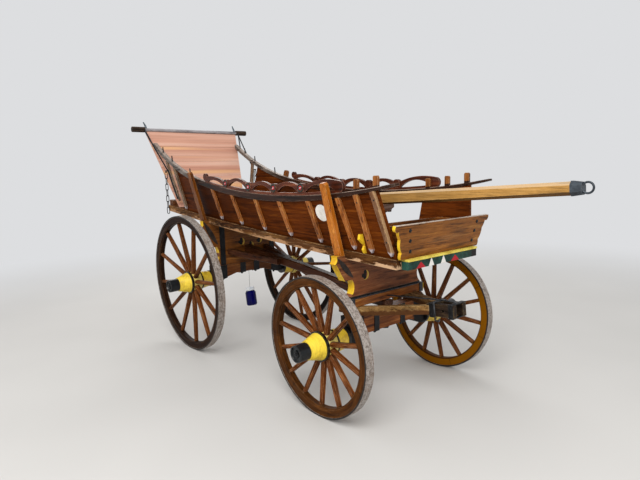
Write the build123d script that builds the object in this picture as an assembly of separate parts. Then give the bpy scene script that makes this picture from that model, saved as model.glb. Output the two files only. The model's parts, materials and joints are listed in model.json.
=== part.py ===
from build123d import *
import math
import os

os.makedirs("parts", exist_ok=True)

# Farm wagon with a boat-shaped body, a turning fore-carriage and a draught pole stored in the bed.
# Lengths are in millimetres and angles in degrees. X runs forward, Y to the left and Z up.
# Stations along X are measured from the front axle. The last section moves them to the middle.

# Wheels
front_radius = 500
rear_radius = 664
wheelbase = 1967
track = 1389
camber = 2.0
dish = 55
tyre_width = 70
tyre_thickness = 12
felloe_width = 62
felloe_depth = 62
felloe_bevel = 11
spoke_foot_length = 50
spoke_foot_width = 36
spoke_head_length = 38
spoke_head_width = 28

# Hubs, along the axle from the spokes
hub_spoke_radius = 98
hub_nose_radius = 66
hub_tail_radius = 76
hub_band_proud = 9
hub_hoop_proud = 4
hub_cap_radius = 60
hub_cap_length = 95
hub_nose_length = 158
hub_tail_length = 200
arm_radius = 38
arm_end_radius = 24
arm_clearance = 0.05
hub_end_gap = 8
arm_root = 70

# Side view of the body: station and height of the points that the curved rails run through
sole_front_x = 498
sole_front_z = 1065
sole_mid_x = -1100
sole_mid_z = 1160
sole_rear_x = -2860
sole_rear_z = 1326
rail_front_x = 580
rail_front_z = 1620
rail_low_x = -550
rail_low_z = 1533
rail_turn_x = -1850
rail_turn_z = 1660
rail_rear_x = -2920
rail_rear_z = 2085

# Body across
sole_outer = 440
sole_width = 80
sole_depth = 64
rail_depth = 48
rail_tip_depth = 15
rail_width = 48
side_foot = 420
side_top = 528
panel_thickness = 20
rib_thickness = 20
rib_width = 38
rib_tip_lift = 16
rib_tip_rise = 26

# Stations of the panels' ends, at the foot and at the top
panel_front_foot_x = 488
panel_front_top_x = 420
panel_rear_foot_x = -2440
panel_rear_top_x = -2455
step_front_foot_x = -10
step_front_top_x = -14
step_rear_foot_x = -520
step_rear_top_x = -285

# Floor, bearers and seat
floor_thickness = 22
bearer_depth = 26
bearer_width = 70
floor_board_count = 5
floor_board_gap = 4
seat_front_x = -300
seat_depth = 220
seat_thickness = 28
seat_top_z = 1415
seat_apron_drop = 95
seat_side_gap = 1

# Foot box at the front
box_front_x = 505
box_front_lean = 10
box_front_foot_half = 427
box_front_top_half = 521
box_front_height = 232
box_board_thickness = 24
box_rear_x = 200
box_rear_board = 22
box_rear_top_z = 1330
box_side_foot = 338
box_side_top = 372
box_side_board = 24
box_end_reach = 24
sill_depth = 54
sill_width = 56
sill_half = 395
strip_half = 388
strip_thickness = 14
strip_overhang = 6

# Bolsters over the axles
bolster_width = 64
ear_rise = 23
front_bolster_foot_z = 801
rear_bolster_foot_z = 790
front_bolster_foot_half = 393
rear_bolster_foot_half = 379
stake_foot_y = 452
stake_lean = 14.5
stake_thickness = 32
stake_foot_width = 74
stake_top_width = 58
front_stake_top_z = 1632
rear_stake_top_z = 1745

# Crest on the top rails
crest_thickness = 24
boss_radius = 37
boss_proud = 6

# Posts on the inner side of the top rails
rail_post_length = 44
rail_post_thickness = 16
rail_post_rise = 75

# Tail
tail_bar_x = -3032
tail_bar_z = 2236
tail_bar_half = 730
tail_bar_radius = 18
tail_grip_half = 590
tail_grip_size = 58
tail_board_thickness = 22
tail_board_foot_x = -2620
tail_board_foot_half = 418
tail_board_top_half = 582
tail_board_count = 5
tail_board_gap = 1
tail_beam_depth = 60
tail_beam_width = 72
tail_beam_half = 425
rod_radius = 7
iron_gap = 4
chain_x = -2588
chain_top_z = 1767
chain_link_count = 7
chain_link_length = 78
chain_link_width = 34
chain_wire = 8

# Fore-carriage
axle_width = 104
front_axle_depth = 148
front_axle_drop = 52
front_axle_drop_inner = 0.62
front_axle_drop_outer = 0.86
rear_axle_depth = 98
rear_axle_drop = 54
rear_axle_drop_inner = 0.40
rear_axle_drop_outer = 0.88
turn_gap = 5
wear_plate = 7
sand_board_depth = 62
sand_board_half = 425
sand_clip_width = 40
sand_clip_inset = 14
sand_clip_hang = 6
king_pin_radius = 16
king_pin_top_z = 1000
king_pin_head = 34
king_pin_head_height = 14
pin_clearance = 0.05
reach_gap = 6
block_length = 220
block_width = 148
block_depth = 88
block_rear_x = 462
block_rear_z = 685
block_pitch = 5
pole_slot_width = 76
pole_slot_depth = 160
pole_pin_radius = 11
pole_pin_setback = 85
band_thickness = 6
band_width = 34

# Draught pole, stored in the bed
pole_butt_x = -2250
pole_tip_x = 1385
pole_butt_size = 96
pole_tip_size = 78
pole_cap_length = 58
pole_cap_wall = 4
pole_ring_radius = 30
pole_ring_wire = 6

# Grease pot under the rear axle
pot_foot_x = -wheelbase + 65
pot_foot_z = 315
pot_radius = 56
pot_lid_radius = 47
pot_height = 195
pot_tilt = 10
pot_wire = 1.5

bevel = 4
body_nodes = {}


def keep(name, *solids):
    """Store the solids of one named piece."""
    body_nodes[name] = [part for shape in solids for part in shape.solids()]


def mirrored(shape):
    return mirror(shape, about=Plane.XZ)


def block(x0, x1, y0, y1, z0, z1):
    """A box between two corners."""
    return Pos((x0 + x1) / 2, (y0 + y1) / 2, (z0 + z1) / 2) * Box(x1 - x0, y1 - y0, z1 - z0)


def outline(*points):
    """A flat face round straight-sided corners."""
    return Face(Wire(Polyline(*points, close=True).edges()))


def circle_through(a, b, c):
    """Centre and radius of the circle through three points of the side view."""
    k1 = (b[0] ** 2 - a[0] ** 2 + b[1] ** 2 - a[1] ** 2) / 2
    k2 = (c[0] ** 2 - b[0] ** 2 + c[1] ** 2 - b[1] ** 2) / 2
    det = (b[0] - a[0]) * (c[1] - b[1]) - (c[0] - b[0]) * (b[1] - a[1])
    cx = (k1 * (c[1] - b[1]) - k2 * (b[1] - a[1])) / det
    cz = ((b[0] - a[0]) * k2 - (c[0] - b[0]) * k1) / det
    return cx, cz, math.hypot(a[0] - cx, a[1] - cz)


def circle_onward(start, centre, end):
    """The circle that leaves start tangent to a circle round centre, and reaches end."""
    reach_x = start[0] - centre[0]
    reach_z = start[1] - centre[1]
    length = math.hypot(reach_x, reach_z)
    nx, nz = -reach_x / length, -reach_z / length
    dx, dz = end[0] - start[0], end[1] - start[1]
    radius = (dx * dx + dz * dz) / (2 * (dx * nx + dz * nz))
    return start[0] + nx * radius, start[1] + nz * radius, radius


rail_turn = (rail_turn_x, rail_turn_z)
under_turn = (rail_turn_x, rail_turn_z - rail_depth)
sole_circle = circle_through(
    (sole_front_x, sole_front_z), (sole_mid_x, sole_mid_z), (sole_rear_x, sole_rear_z)
)
rail_circle = circle_through((rail_front_x, rail_front_z), (rail_low_x, rail_low_z), rail_turn)
tail_circle = circle_onward(rail_turn, rail_circle, (rail_rear_x, rail_rear_z))
under_circle = circle_through(
    (rail_front_x, rail_front_z - rail_tip_depth), (rail_low_x, rail_low_z - rail_depth), under_turn
)
under_tail_circle = circle_onward(under_turn, under_circle, (rail_rear_x, rail_rear_z - rail_depth))


def height_on(circle, x):
    return circle[1] - math.sqrt(circle[2] ** 2 - (x - circle[0]) ** 2)


def sole_z(x):
    """Height of the lower edge of the bottom rails."""
    return height_on(sole_circle, x)


def rail_z(x):
    """Height of the upper edge of the top rails."""
    return height_on(rail_circle if x >= rail_turn_x else tail_circle, x)


def under_z(x):
    """Height of the lower edge of the top rails, which taper towards the front."""
    return height_on(under_circle if x >= rail_turn_x else under_tail_circle, x)


def curve_edges(height, xa, xb, rise):
    """Arcs that follow a height curve from one station to another, moved up by rise."""
    breaks = [xa, xb]
    if height is not sole_z and min(xa, xb) < rail_turn_x < max(xa, xb):
        breaks = [xa, rail_turn_x, xb]
    edges = []
    for x0, x1 in zip(breaks, breaks[1:]):
        xm = (x0 + x1) / 2
        ends = [(x, 0, height(x) + rise) for x in (x0, xm, x1)]
        edges.append(ThreePointArc(*ends))
    return edges


def band(low, low_rise, high, high_rise, foot_xs, top_xs):
    """Side-view face between two height curves. Each end is a straight line from foot to top."""
    lower = curve_edges(low, foot_xs[0], foot_xs[1], low_rise)
    upper = curve_edges(high, top_xs[1], top_xs[0], high_rise)
    edges = lower + [Line(lower[-1] @ 1, upper[0] @ 0)] + upper + [Line(upper[-1] @ 1, lower[0] @ 0)]
    return Face(Wire([edge for line in edges for edge in line.edges()]))


def across(face, y0, y1):
    """Extrude a side-view face between two distances from the middle."""
    return extrude(face.moved(Location((0, y0, 0))), amount=y1 - y0, dir=(0, 1, 0))


def seated(low, rise, depth, x0, x1, y0, y1):
    """A bar across the body whose underside follows a height curve."""
    return across(band(low, rise, low, rise + depth, (x0, x1), (x0, x1)), y0, y1)


def ruled(sections):
    """A solid with straight sides through a row of faces."""
    return Solid.make_loft([face.outer_wire() for face in sections], True)


def cut_corners(a, b, c):
    """The eight corners of a rectangle of half sides a and b, cut back by c."""
    lower = [(-a + c, -b), (a - c, -b), (a, -b + c), (a, b - c)]
    return lower + [(-p, -q) for p, q in lower]


def upright(x, y, z, width, depth, corner=0):
    """A rectangle square to X, with cut corners if corner is set."""
    a, b, c = width / 2, depth / 2, corner
    if c == 0:
        ring = [(-a, -b), (a, -b), (a, b), (-a, b)]
    else:
        ring = cut_corners(a, b, c)
    return outline(*[(x, y + p, z + q) for p, q in ring])


# Flare of the sides. Each station has the line that the outer face of the panels follows there.
flare_low_z = 1000
flare_high_z = 2250
flare_xs = [640, -200, -950, -1650, -2300, -3000]


def flare_line(x):
    """Distance out at the low and at the high reference height, at one station."""
    foot_z = sole_z(x) + sole_depth
    top_z = under_z(max(x, rail_rear_x))
    slope = (side_top - side_foot) / (top_z - foot_z)
    return [side_foot + slope * (z - foot_z) for z in (flare_low_z, flare_high_z)]


def flare_y(x, z):
    """Distance out of the panels' outer face at any station and height."""
    for x0, x1 in zip(flare_xs, flare_xs[1:]):
        if x >= x1:
            break
    t = (x - x0) / (x1 - x0)
    low, high = [a + t * (b - a) for a, b in zip(flare_line(x0), flare_line(x1))]
    return low + (high - low) * (z - flare_low_z) / (flare_high_z - flare_low_z)


def skin(inner, outer):
    """The layer of the left side between two distances from the panels' outer face."""
    faces = []
    for x in flare_xs:
        low, high = flare_line(x)
        corners = [(low + inner, flare_low_z), (low + outer, flare_low_z)]
        corners += [(high + outer, flare_high_z), (high + inner, flare_high_z)]
        faces.append(outline(*[(x, y, z) for y, z in corners]))
    return ruled(faces)


# Bottom rails and top rails
sole_left = across(
    band(sole_z, 0, sole_z, sole_depth, (sole_front_x, sole_rear_x), (sole_front_x, sole_rear_x)),
    sole_outer - sole_width,
    sole_outer,
)
keep("bottom_rail_left", sole_left)
keep("bottom_rail_right", mirrored(sole_left))

rail_inner = side_top + rib_thickness - rail_width - 2
rail_left = across(
    band(under_z, 0, rail_z, 0, (rail_front_x, rail_rear_x), (rail_front_x, rail_rear_x)),
    rail_inner,
    rail_inner + rail_width,
)
rail_left = chamfer(rail_left.edges().filter_by(lambda e: e.length > rail_turn_x - rail_rear_x - 200), bevel)
rail_post_xs = [395, 218, 33]
for x in rail_post_xs:
    foot_z = min(rail_z(x), rail_z(x + rail_post_length)) - bevel
    post = block(
        x - rail_post_length / 2,
        x + rail_post_length / 2,
        rail_inner,
        rail_inner + rail_post_thickness,
        foot_z - bevel,
        rail_z(x) + rail_post_rise,
    )
    rail_left += chamfer(post.edges().filter_by(Axis.Y).group_by(Axis.Z)[-1], bevel * 2)
keep("top_rail_left", rail_left)
keep("top_rail_right", mirrored(rail_left))

# Side panels. The left one is open behind the foot box, as the way in to the seat.
def panel_band(foot_front, top_front, foot_rear, top_rear):
    return band(sole_z, sole_depth, under_z, 0, (foot_front, foot_rear), (top_front, top_rear))


box_slot = block(
    box_rear_x,
    box_rear_x + box_rear_board,
    0,
    side_top + 200,
    sole_front_z + sole_depth + 15,
    box_rear_top_z - 50,
)
layer = skin(-panel_thickness, 0)
whole = across(
    panel_band(panel_front_foot_x, panel_front_top_x, panel_rear_foot_x, panel_rear_top_x), 200, 900
)
front_part = across(
    panel_band(panel_front_foot_x, panel_front_top_x, step_front_foot_x, step_front_top_x), 200, 900
)
rear_part = across(
    panel_band(step_rear_foot_x, step_rear_top_x, panel_rear_foot_x, panel_rear_top_x), 200, 900
)
side_whole = (layer & whole) - box_slot
keep("side_panel_right", mirrored(side_whole))
keep("side_panel_left", (layer & front_part) - box_slot, layer & rear_part)

# Ribs outside the panels: station at the foot, station at the top
rib_table = [
    (455, 388),
    (285, 240),
    (122, 66),
    (-226, -252),
    (-590, -610),
    (-950, -936),
    (-1314, -1314),
    (-1668, -1653),
    (-2421, -2436),
    (-2545, -2600),
]


def rib_face(foot_x, top_x, lift):
    """One rib in side view, with a pointed lower tip."""
    half = rib_width / 2
    tip_z = sole_z(foot_x) + sole_depth + lift
    tip_x = foot_x + (foot_x - top_x) * 0.06
    shoulder_z = tip_z + rib_tip_rise
    top = curve_edges(under_z, top_x - half, top_x + half, 0)
    shoulders = [(foot_x + side * half, 0, shoulder_z) for side in (1, -1)]
    path = [top[-1] @ 1, shoulders[0], (tip_x, 0, tip_z), shoulders[1], top[0] @ 0]
    return Face(Wire(top[0].edges() + Polyline(*path).edges()))


rib_layer = skin(0, rib_thickness)


def ribs(skip_from, skip_to):
    """All ribs of the left side, but those whose foot stands in a gap."""
    found = []
    for foot_x, top_x in rib_table:
        if not skip_from < foot_x < skip_to:
            lift = rib_tip_lift if foot_x > panel_rear_foot_x else tail_beam_depth + rib_tip_rise
            found.append(rib_layer & across(rib_face(foot_x, top_x, lift), 200, 900))
    return found


keep("ribs_right", *[mirrored(rib) for rib in ribs(1, 0)])
keep("ribs_left", *ribs(step_rear_foot_x, step_front_foot_x))

# Blank round plate on the right panel
disc_x = -140
disc_z = 1412
disc_radius = 63
disc_thickness = 4
disc_gap = 0.3
disc_y = flare_y(disc_x, disc_z)
disc_normal = Vector(
    disc_y - flare_y(disc_x + 1, disc_z),
    1,
    disc_y - flare_y(disc_x, disc_z + 1),
).normalized()
disc_plane = Plane(origin=Vector(disc_x, disc_y, disc_z) + disc_normal * disc_gap, z_dir=disc_normal)
disc = extrude(disc_plane * Circle(disc_radius), amount=disc_thickness)
keep("round_plate", mirrored(disc))

# Crest: arches between bosses, on the top rails. Columns: station, height of the boss over the rail,
# height of the arch behind it, low and high edge of the opening under that arch.
crest_table = [
    (-1390, 40, 76, 12, 44),
    (-1021, 50, 106, 26, 80),
    (-658, 53, 104, 22, 75),
    (-318, 53, 104, 22, 75),
]
crest_rear_x = -1775
crest_rear_rise = 44
crest_front_x = 130
crest_lobe_radius = 42
crest_scroll_radius = 34


def crest_point(x, rise):
    return (x, 0, rail_z(x) + rise)


def crest_arch(x0, h0, x1, h1, top, low, high):
    """The board under one arch, with its long opening."""
    xm = (x0 + x1) / 2
    over = ThreePointArc(crest_point(x1, h1), crest_point(xm, top), crest_point(x0, h0))
    foot = curve_edges(rail_z, x0, x1, 0)
    sides = [Line(foot[-1] @ 1, over @ 0), Line(over @ 1, foot[0] @ 0)]
    face = Face(Wire([e for line in [*foot, over, *sides] for e in line.edges()]))
    reach = (x1 - x0) / 2 - boss_radius - bevel
    hole_foot = curve_edges(rail_z, xm - reach, xm + reach, low)
    hole_top = ThreePointArc(hole_foot[-1] @ 1, crest_point(xm, high), hole_foot[0] @ 0)
    hole = Face(Wire([e for line in [*hole_foot, hole_top] for e in line.edges()]))
    return across(face, 0, crest_thickness) - across(hole, -1, crest_thickness + 1)


def crest_disc(x, rise, radius, proud):
    centre = Plane.XZ.offset(-crest_thickness - proud) * Pos(x, rail_z(x) + rise)
    return extrude(centre * Circle(radius), amount=crest_thickness + 2 * proud)


lobe_x = crest_front_x - crest_lobe_radius
crest_rows = [(crest_rear_x, crest_rear_rise, 0, 0, 0)] + crest_table
crest_rows += [(lobe_x, crest_lobe_radius * 1.9, 102, 20, 74)]
crest = crest_disc(crest_rear_x, crest_rear_rise, crest_scroll_radius, 0)
for (x0, h0, *_), (x1, h1, *arch) in zip(crest_rows, crest_rows[1:]):
    crest += crest_arch(x0, h0, x1, h1, *arch)
crest += crest_disc(lobe_x, crest_lobe_radius - bevel, crest_lobe_radius, 0)
for x, rise, *_ in crest_table:
    crest += crest_disc(x, rise, boss_radius, boss_proud)
crest_ends = (crest_front_x + boss_radius, crest_rear_x - 2 * boss_radius)
crest -= across(band(rail_z, -150, rail_z, 0, crest_ends, crest_ends), -20, 60)
crest = Pos(0, rail_inner + rail_post_thickness + boss_proud + 1, 0) * crest
keep("crest_left", crest)
keep("crest_right", mirrored(crest))

# Floor boards on cross bearers between the bottom rails
bed_half = sole_outer - sole_width - 1
bearer_xs = [430, 160, -520, -1050, -1550, -2380, -2790]
keep(
    "floor_bearers",
    *[seated(sole_z, 0, bearer_depth, x, x - bearer_width, -bed_half, bed_half) for x in bearer_xs],
)
board_pitch = 2 * bed_half / floor_board_count
floor_face = band(
    sole_z, bearer_depth, sole_z, bearer_depth + floor_thickness, (sole_front_x, sole_rear_x), (sole_front_x, sole_rear_x)
)
boards = []
for i in range(floor_board_count):
    y0 = -bed_half + i * board_pitch + floor_board_gap / 2
    boards.append(across(floor_face, y0, y0 + board_pitch - floor_board_gap))
keep("floor_boards", *boards)


def floor_z(x):
    return sole_z(x) + bearer_depth + floor_thickness


# Bolsters with scrolled ends, seen from the front. Each end climbs from the foot over a hollow, a ledge
# and a long slope to the knob at its ear. Columns: distance out from the foot, share of the way up to the rail.
bolster_hollow = [(0, 0), (-33, 0.18), (-13, 0.44)]
bolster_ledge = [(-13, 0.44), (55, 0.435)]
bolster_slope = [(55, 0.435), (98, 0.665), (133, 0.88)]
bolster_notch = [(133, 0.88), (148, 0.89)]
bolster_knob_out = 127
bolster_ear_out = 132


def bolster(x, foot_z, foot_half):
    """A bolster between two ears, with the bottom rails' seat in the middle."""
    seat_z = min(sole_z(x - bolster_width / 2), sole_z(x + bolster_width / 2))
    ear_z = sole_z(x) + ear_rise
    rise = sole_z(x) - foot_z
    rail_y = sole_outer + 2

    def at(out, share):
        return (x, foot_half + out, foot_z + share * rise)

    ear = (x, foot_half + bolster_ear_out, ear_z)
    notch = at(*bolster_notch[1])
    knob = (x, foot_half + bolster_knob_out, (ear_z + notch[2]) / 2)
    side = [
        ThreePointArc(*[at(*point) for point in bolster_hollow]),
        Line(*[at(*point) for point in bolster_ledge]),
        ThreePointArc(*[at(*point) for point in bolster_slope]),
        Line(*[at(*point) for point in bolster_notch]),
        ThreePointArc(notch, knob, ear),
        Line(ear, (x, rail_y, ear_z)),
        Line((x, rail_y, ear_z), (x, rail_y, seat_z)),
    ]
    edges = [e for line in side for e in line.edges()]
    edges += [mirrored(e) for e in edges]
    edges += Line((x, rail_y, seat_z), (x, -rail_y, seat_z)).edges()
    edges += Line((x, foot_half, foot_z), (x, -foot_half, foot_z)).edges()
    face = Face(Wire.combine(edges)[0])
    return extrude(face.moved(Location((-bolster_width / 2, 0, 0))), amount=bolster_width, dir=(1, 0, 0))


front_bolster = bolster(0, front_bolster_foot_z, front_bolster_foot_half)
rear_bolster = bolster(-wheelbase, rear_bolster_foot_z, rear_bolster_foot_half)
front_bolster -= Pos(0, 0, front_bolster_foot_z) * Cylinder(king_pin_radius + pin_clearance, 400)

# Reach pole from the rear axle to the king pin. Columns: station, middle height, depth, width
axle_top_z = front_radius + 155
reach_front_z = axle_top_z + reach_gap + 25
reach_table = [
    (-wheelbase - 150, 948, 80, 78),
    (-1000, 838, 78, 78),
    (-500, 774, 76, 76),
    (-150, reach_front_z, 50, 76),
    (-40, reach_front_z, 50, 92),
    (46, reach_front_z, 50, 92),
]
reach = ruled([upright(x, 0, z, width, depth, 9) for x, z, depth, width in reach_table])
reach -= Pos(0, 0, reach_front_z) * Cylinder(king_pin_radius + pin_clearance, 100)
mortise = ruled([upright(x, 0, z, width + 2, depth + 2) for x, z, depth, width in reach_table[:2]])
rear_bolster -= mortise
keep("front_bolster", front_bolster)
keep("rear_bolster", rear_bolster)
keep("reach", reach)


def reach_z(x):
    """Middle height of the reach behind its bend."""
    (x0, z0, _, _), (x1, z1, _, _) = reach_table[:2]
    return z0 + (x - x0) / (x1 - x0) * (z1 - z0)


# Rear hounds, a pair of struts from the rear bolster to the sides of the reach
hound_meet_x = -1290
hound_spread = 225
hound_width = 52
hound_depth = 58
hound_start_x = -wheelbase + bolster_width / 2
hound = ruled(
    [
        upright(hound_start_x, hound_spread, reach_z(hound_start_x) - 8, hound_width, hound_depth, 6),
        upright(hound_meet_x, 39 + hound_width / 2, reach_z(hound_meet_x), hound_width, hound_depth, 6),
    ]
)
keep("rear_hounds", hound, mirrored(hound))

# Stakes that lean out from the bolsters' ears, past the top rails
def stake(x, top_z):
    foot_z = sole_z(x) + ear_rise
    length = (top_z - foot_z) / math.cos(math.radians(stake_lean))
    ring = [
        (-stake_foot_width / 2, -60),
        (stake_foot_width / 2, -60),
        (stake_foot_width / 2, 0),
        (stake_top_width / 2, length - 14),
        (stake_top_width / 2 - 14, length),
        (-stake_top_width / 2 + 10, length),
        (-stake_top_width / 2, length - 10),
        (-stake_foot_width / 2, 0),
    ]
    face = outline(*[(x + p, 0, q) for p, q in ring])
    post = extrude(face, amount=stake_thickness, dir=(0, 1, 0))
    post = Pos(0, stake_foot_y, foot_z) * Rot(-stake_lean, 0, 0) * post
    return post - block(x - 200, x + 200, 0, 900, 0, foot_z)


stake_pair = [stake(0, front_stake_top_z), stake(-wheelbase - 20, rear_stake_top_z)]
keep("stakes_front", stake_pair[0], mirrored(stake_pair[0]))
keep("stakes_rear", stake_pair[1], mirrored(stake_pair[1]))

# Front sill, with the strip on it that carries the foot box's front board
sill_z = sole_front_z - 2
sill_x = sole_front_x + 1
sill = block(sill_x, sill_x + sill_width, -sill_half, sill_half, sill_z, sill_z + sill_depth)
keep("front_sill", chamfer(sill.edges().filter_by(Axis.Z), bevel * 2))
strip_z = sill_z + sill_depth
strip = block(
    sill_x, sill_x + sill_width + strip_overhang, -strip_half, strip_half, strip_z, strip_z + strip_thickness
)
keep("sill_strip", strip)

# Foot box: front board with scrolled ends, leaning forward
def scrolled_end(foot_half, top_half, height):
    """The left end of the front board, from the foot up, as three lobes."""
    marks = [
        (foot_half, 0, foot_half + 12, 0.1),
        (foot_half + 6, 0.22, foot_half + 30, 0.4),
        (foot_half + 34, 0.60, foot_half + 52, 0.72),
        (top_half - 34, 0.84, top_half + 4, 0.90),
        (top_half, 1.0, 0, 0),
    ]
    lines = []
    for (y0, t0, ym, tm), (y1, t1, _, _) in zip(marks, marks[1:]):
        lines.append(ThreePointArc((0, y0, t0 * height), (0, ym, tm * height), (0, y1, t1 * height)))
    return lines


end_lines = scrolled_end(box_front_foot_half, box_front_top_half, box_front_height)
end_edges = [e for line in end_lines for e in line.edges()]
end_edges += [mirrored(e) for e in end_edges]
for half, z in ((box_front_top_half, box_front_height), (box_front_foot_half, 0)):
    end_edges += Line((0, half, z), (0, -half, z)).edges()
front_board = extrude(Face(Wire.combine(end_edges)[0]), amount=box_board_thickness, dir=(1, 0, 0))
strip_top_z = strip_z + strip_thickness
front_board = Pos(box_front_x, 0, strip_top_z) * Rot(0, box_front_lean, 0) * front_board
front_board -= block(0, 900, -900, 900, 0, strip_top_z)
keep("box_front_board", front_board)

# Foot box: rear board, whose wavy ends pass through the side panels
rear_low_z = floor_z(box_rear_x) + 1
slot_low_z = sole_front_z + sole_depth + 16
slot_high_z = box_rear_top_z - 51
board_y_low = flare_y(box_rear_x, slot_low_z)
board_y_high = flare_y(box_rear_x, slot_high_z)
inner_low = flare_y(box_rear_x, rear_low_z) - panel_thickness - 2
inner_high = flare_y(box_rear_x, box_rear_top_z) - panel_thickness - 2
wing = [
    (0, rear_low_z),
    (bed_half - 2, rear_low_z),
    (bed_half - 2, slot_low_z),
    (board_y_low + box_end_reach - 8, slot_low_z),
    (board_y_low + box_end_reach + 6, slot_low_z + 26),
    (board_y_low + box_end_reach - 8, slot_low_z + 54),
    (board_y_high + box_end_reach + 8, slot_high_z - 34),
    (board_y_high + box_end_reach, slot_high_z),
    (flare_y(box_rear_x, slot_high_z) - panel_thickness - 4, slot_high_z),
    (inner_high, box_rear_top_z),
    (0, box_rear_top_z),
]
half_board = extrude(
    outline(*[(box_rear_x + 1, y, z) for y, z in wing]), amount=box_rear_board - 2, dir=(1, 0, 0)
)
keep("box_rear_board", half_board + mirrored(half_board))

# Foot box: inner side boards between the rear board and the front board
lean = math.tan(math.radians(box_front_lean))
rear_face_x = box_rear_x + box_rear_board
side_low_z = floor_z(rear_face_x) + 1
side_high_z = strip_top_z + box_front_height - 30


def box_side(x, z):
    y = box_side_foot + (box_side_top - box_side_foot) * (z - side_low_z) / (side_high_z - side_low_z)
    return (x, y, z)


side_ring = [
    box_side(rear_face_x, side_low_z),
    box_side(box_front_x + (side_low_z - strip_top_z) * lean, side_low_z),
    box_side(box_front_x + (side_high_z - strip_top_z) * lean, side_high_z),
    box_side(rear_face_x, side_high_z),
]
box_left = extrude(outline(*side_ring), amount=box_side_board, dir=(0, -1, 0))
box_left -= block(sill_x - 5, 900, 0, 900, 0, strip_top_z)
keep("box_side_boards", box_left, mirrored(box_left))

# Seat board with an arched apron, on cleats against the sides
seat_rear_x = seat_front_x - seat_depth
apron_low = seat_top_z - seat_thickness
seat_y = min(flare_y(x, apron_low) for x in (seat_front_x, seat_rear_x)) - panel_thickness - seat_side_gap
seat = block(seat_rear_x, seat_front_x, -seat_y, seat_y, apron_low, seat_top_z)
apron = Face(
    Wire(
        [
            *Line((seat_front_x, -seat_y, apron_low), (seat_front_x, seat_y, apron_low)).edges(),
            *ThreePointArc(
                (seat_front_x, seat_y, apron_low),
                (seat_front_x, 0, apron_low - seat_apron_drop),
                (seat_front_x, -seat_y, apron_low),
            ).edges(),
        ]
    )
)
seat += extrude(apron, amount=20, dir=(-1, 0, 0))
keep("seat_board", seat)
cleat_x0 = seat_rear_x + 10
cleat_x1 = seat_front_x - 24
cleat_face = outline(
    (cleat_x0, 0, apron_low - 40),
    (cleat_x1, 0, apron_low - 40),
    (cleat_x1, 0, apron_low),
    (cleat_x0, 0, apron_low),
)
cleat = skin(-panel_thickness - 26, -panel_thickness) & across(cleat_face, 200, 900)
keep("seat_cleats", cleat, mirrored(cleat))

# Tail: cross beam on the bottom rails, tailboard leaning back between them, bar along its top
beam_x = sole_rear_x + 4
beam_front_x = beam_x + tail_beam_width
tail_beam = seated(sole_z, sole_depth, tail_beam_depth, beam_front_x, beam_x, -tail_beam_half, tail_beam_half)
keep("rear_cross_beam", tail_beam)

board_foot_z = sole_z(tail_board_foot_x - tail_board_thickness) + sole_depth + 3
board_rise = tail_bar_z - tail_bar_radius - board_foot_z
tail_lean = (tail_bar_x - tail_board_foot_x) / board_rise


def tail_point(height, side, back):
    """A point of the tailboard: height over its foot, side of the middle, distance behind its face."""
    half = tail_board_foot_half + (tail_board_top_half - tail_board_foot_half) * height / board_rise
    return (tail_board_foot_x + height * tail_lean - back, side * half, board_foot_z + height)


tail_parts = []
for i in range(tail_board_count):
    low = board_rise * i / tail_board_count + (tail_board_gap if i else 0)
    high = board_rise * (i + 1) / tail_board_count
    corners = [tail_point(height, side, 0) for height, side in ((low, -1), (low, 1), (high, 1), (high, -1))]
    tail_parts.append(extrude(outline(*corners), amount=tail_board_thickness, dir=(-1, 0, 0)))
batten_width = 46
batten_thickness = 20
batten_y = tail_board_foot_half - batten_width
batten_ends = []
for height in (tail_board_gap, board_rise - batten_width):
    x, _, z = tail_point(height, 0, tail_board_thickness)
    batten_ends.append(((x, batten_y, z), (x - batten_thickness, batten_y, z)))
batten_face = outline(*batten_ends[0], *reversed(batten_ends[1]))
batten = extrude(batten_face, amount=batten_width, dir=(0, -1, 0))
tailboard = batten + mirrored(batten)
for part in tail_parts:
    tailboard += part
keep("tailboard", tailboard)

bar = Pos(tail_bar_x, 0, tail_bar_z) * Rot(90, 0, 0) * Cylinder(tail_bar_radius, 2 * tail_grip_half + 2)
for side in (-1, 1):
    y0, y1 = sorted((side * tail_grip_half, side * tail_bar_half))
    grip = block(
        tail_bar_x - tail_grip_size / 2,
        tail_bar_x + tail_grip_size / 2,
        y0,
        y1,
        tail_bar_z - tail_grip_size / 2,
        tail_bar_z + tail_grip_size / 2,
    )
    bar += chamfer(grip.edges().filter_by(Axis.Y), 16)
keep("tail_bar", bar)


def rod(start, end, radius):
    """A round bar between two points."""
    a, b = Vector(*start), Vector(*end)
    return Plane(origin=a, z_dir=b - a) * extrude(Circle(radius), amount=(b - a).length)


# Irons of the tail, for the left side: both stays run from the bar, one to the rail and one past it to the
# last rib, and a strut follows that rib down
rail_outer = rail_inner + rail_width
stay_rail_x = rail_rear_x + 40
stay_bar_y = tail_grip_half + iron_gap + rod_radius
strut_foot_x = -2536
strut_foot_z = 1465


def iron_y(x, z):
    """Distance out of a rod that lies beside the ribs."""
    return flare_y(x, z) + rib_thickness + iron_gap + rod_radius


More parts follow.
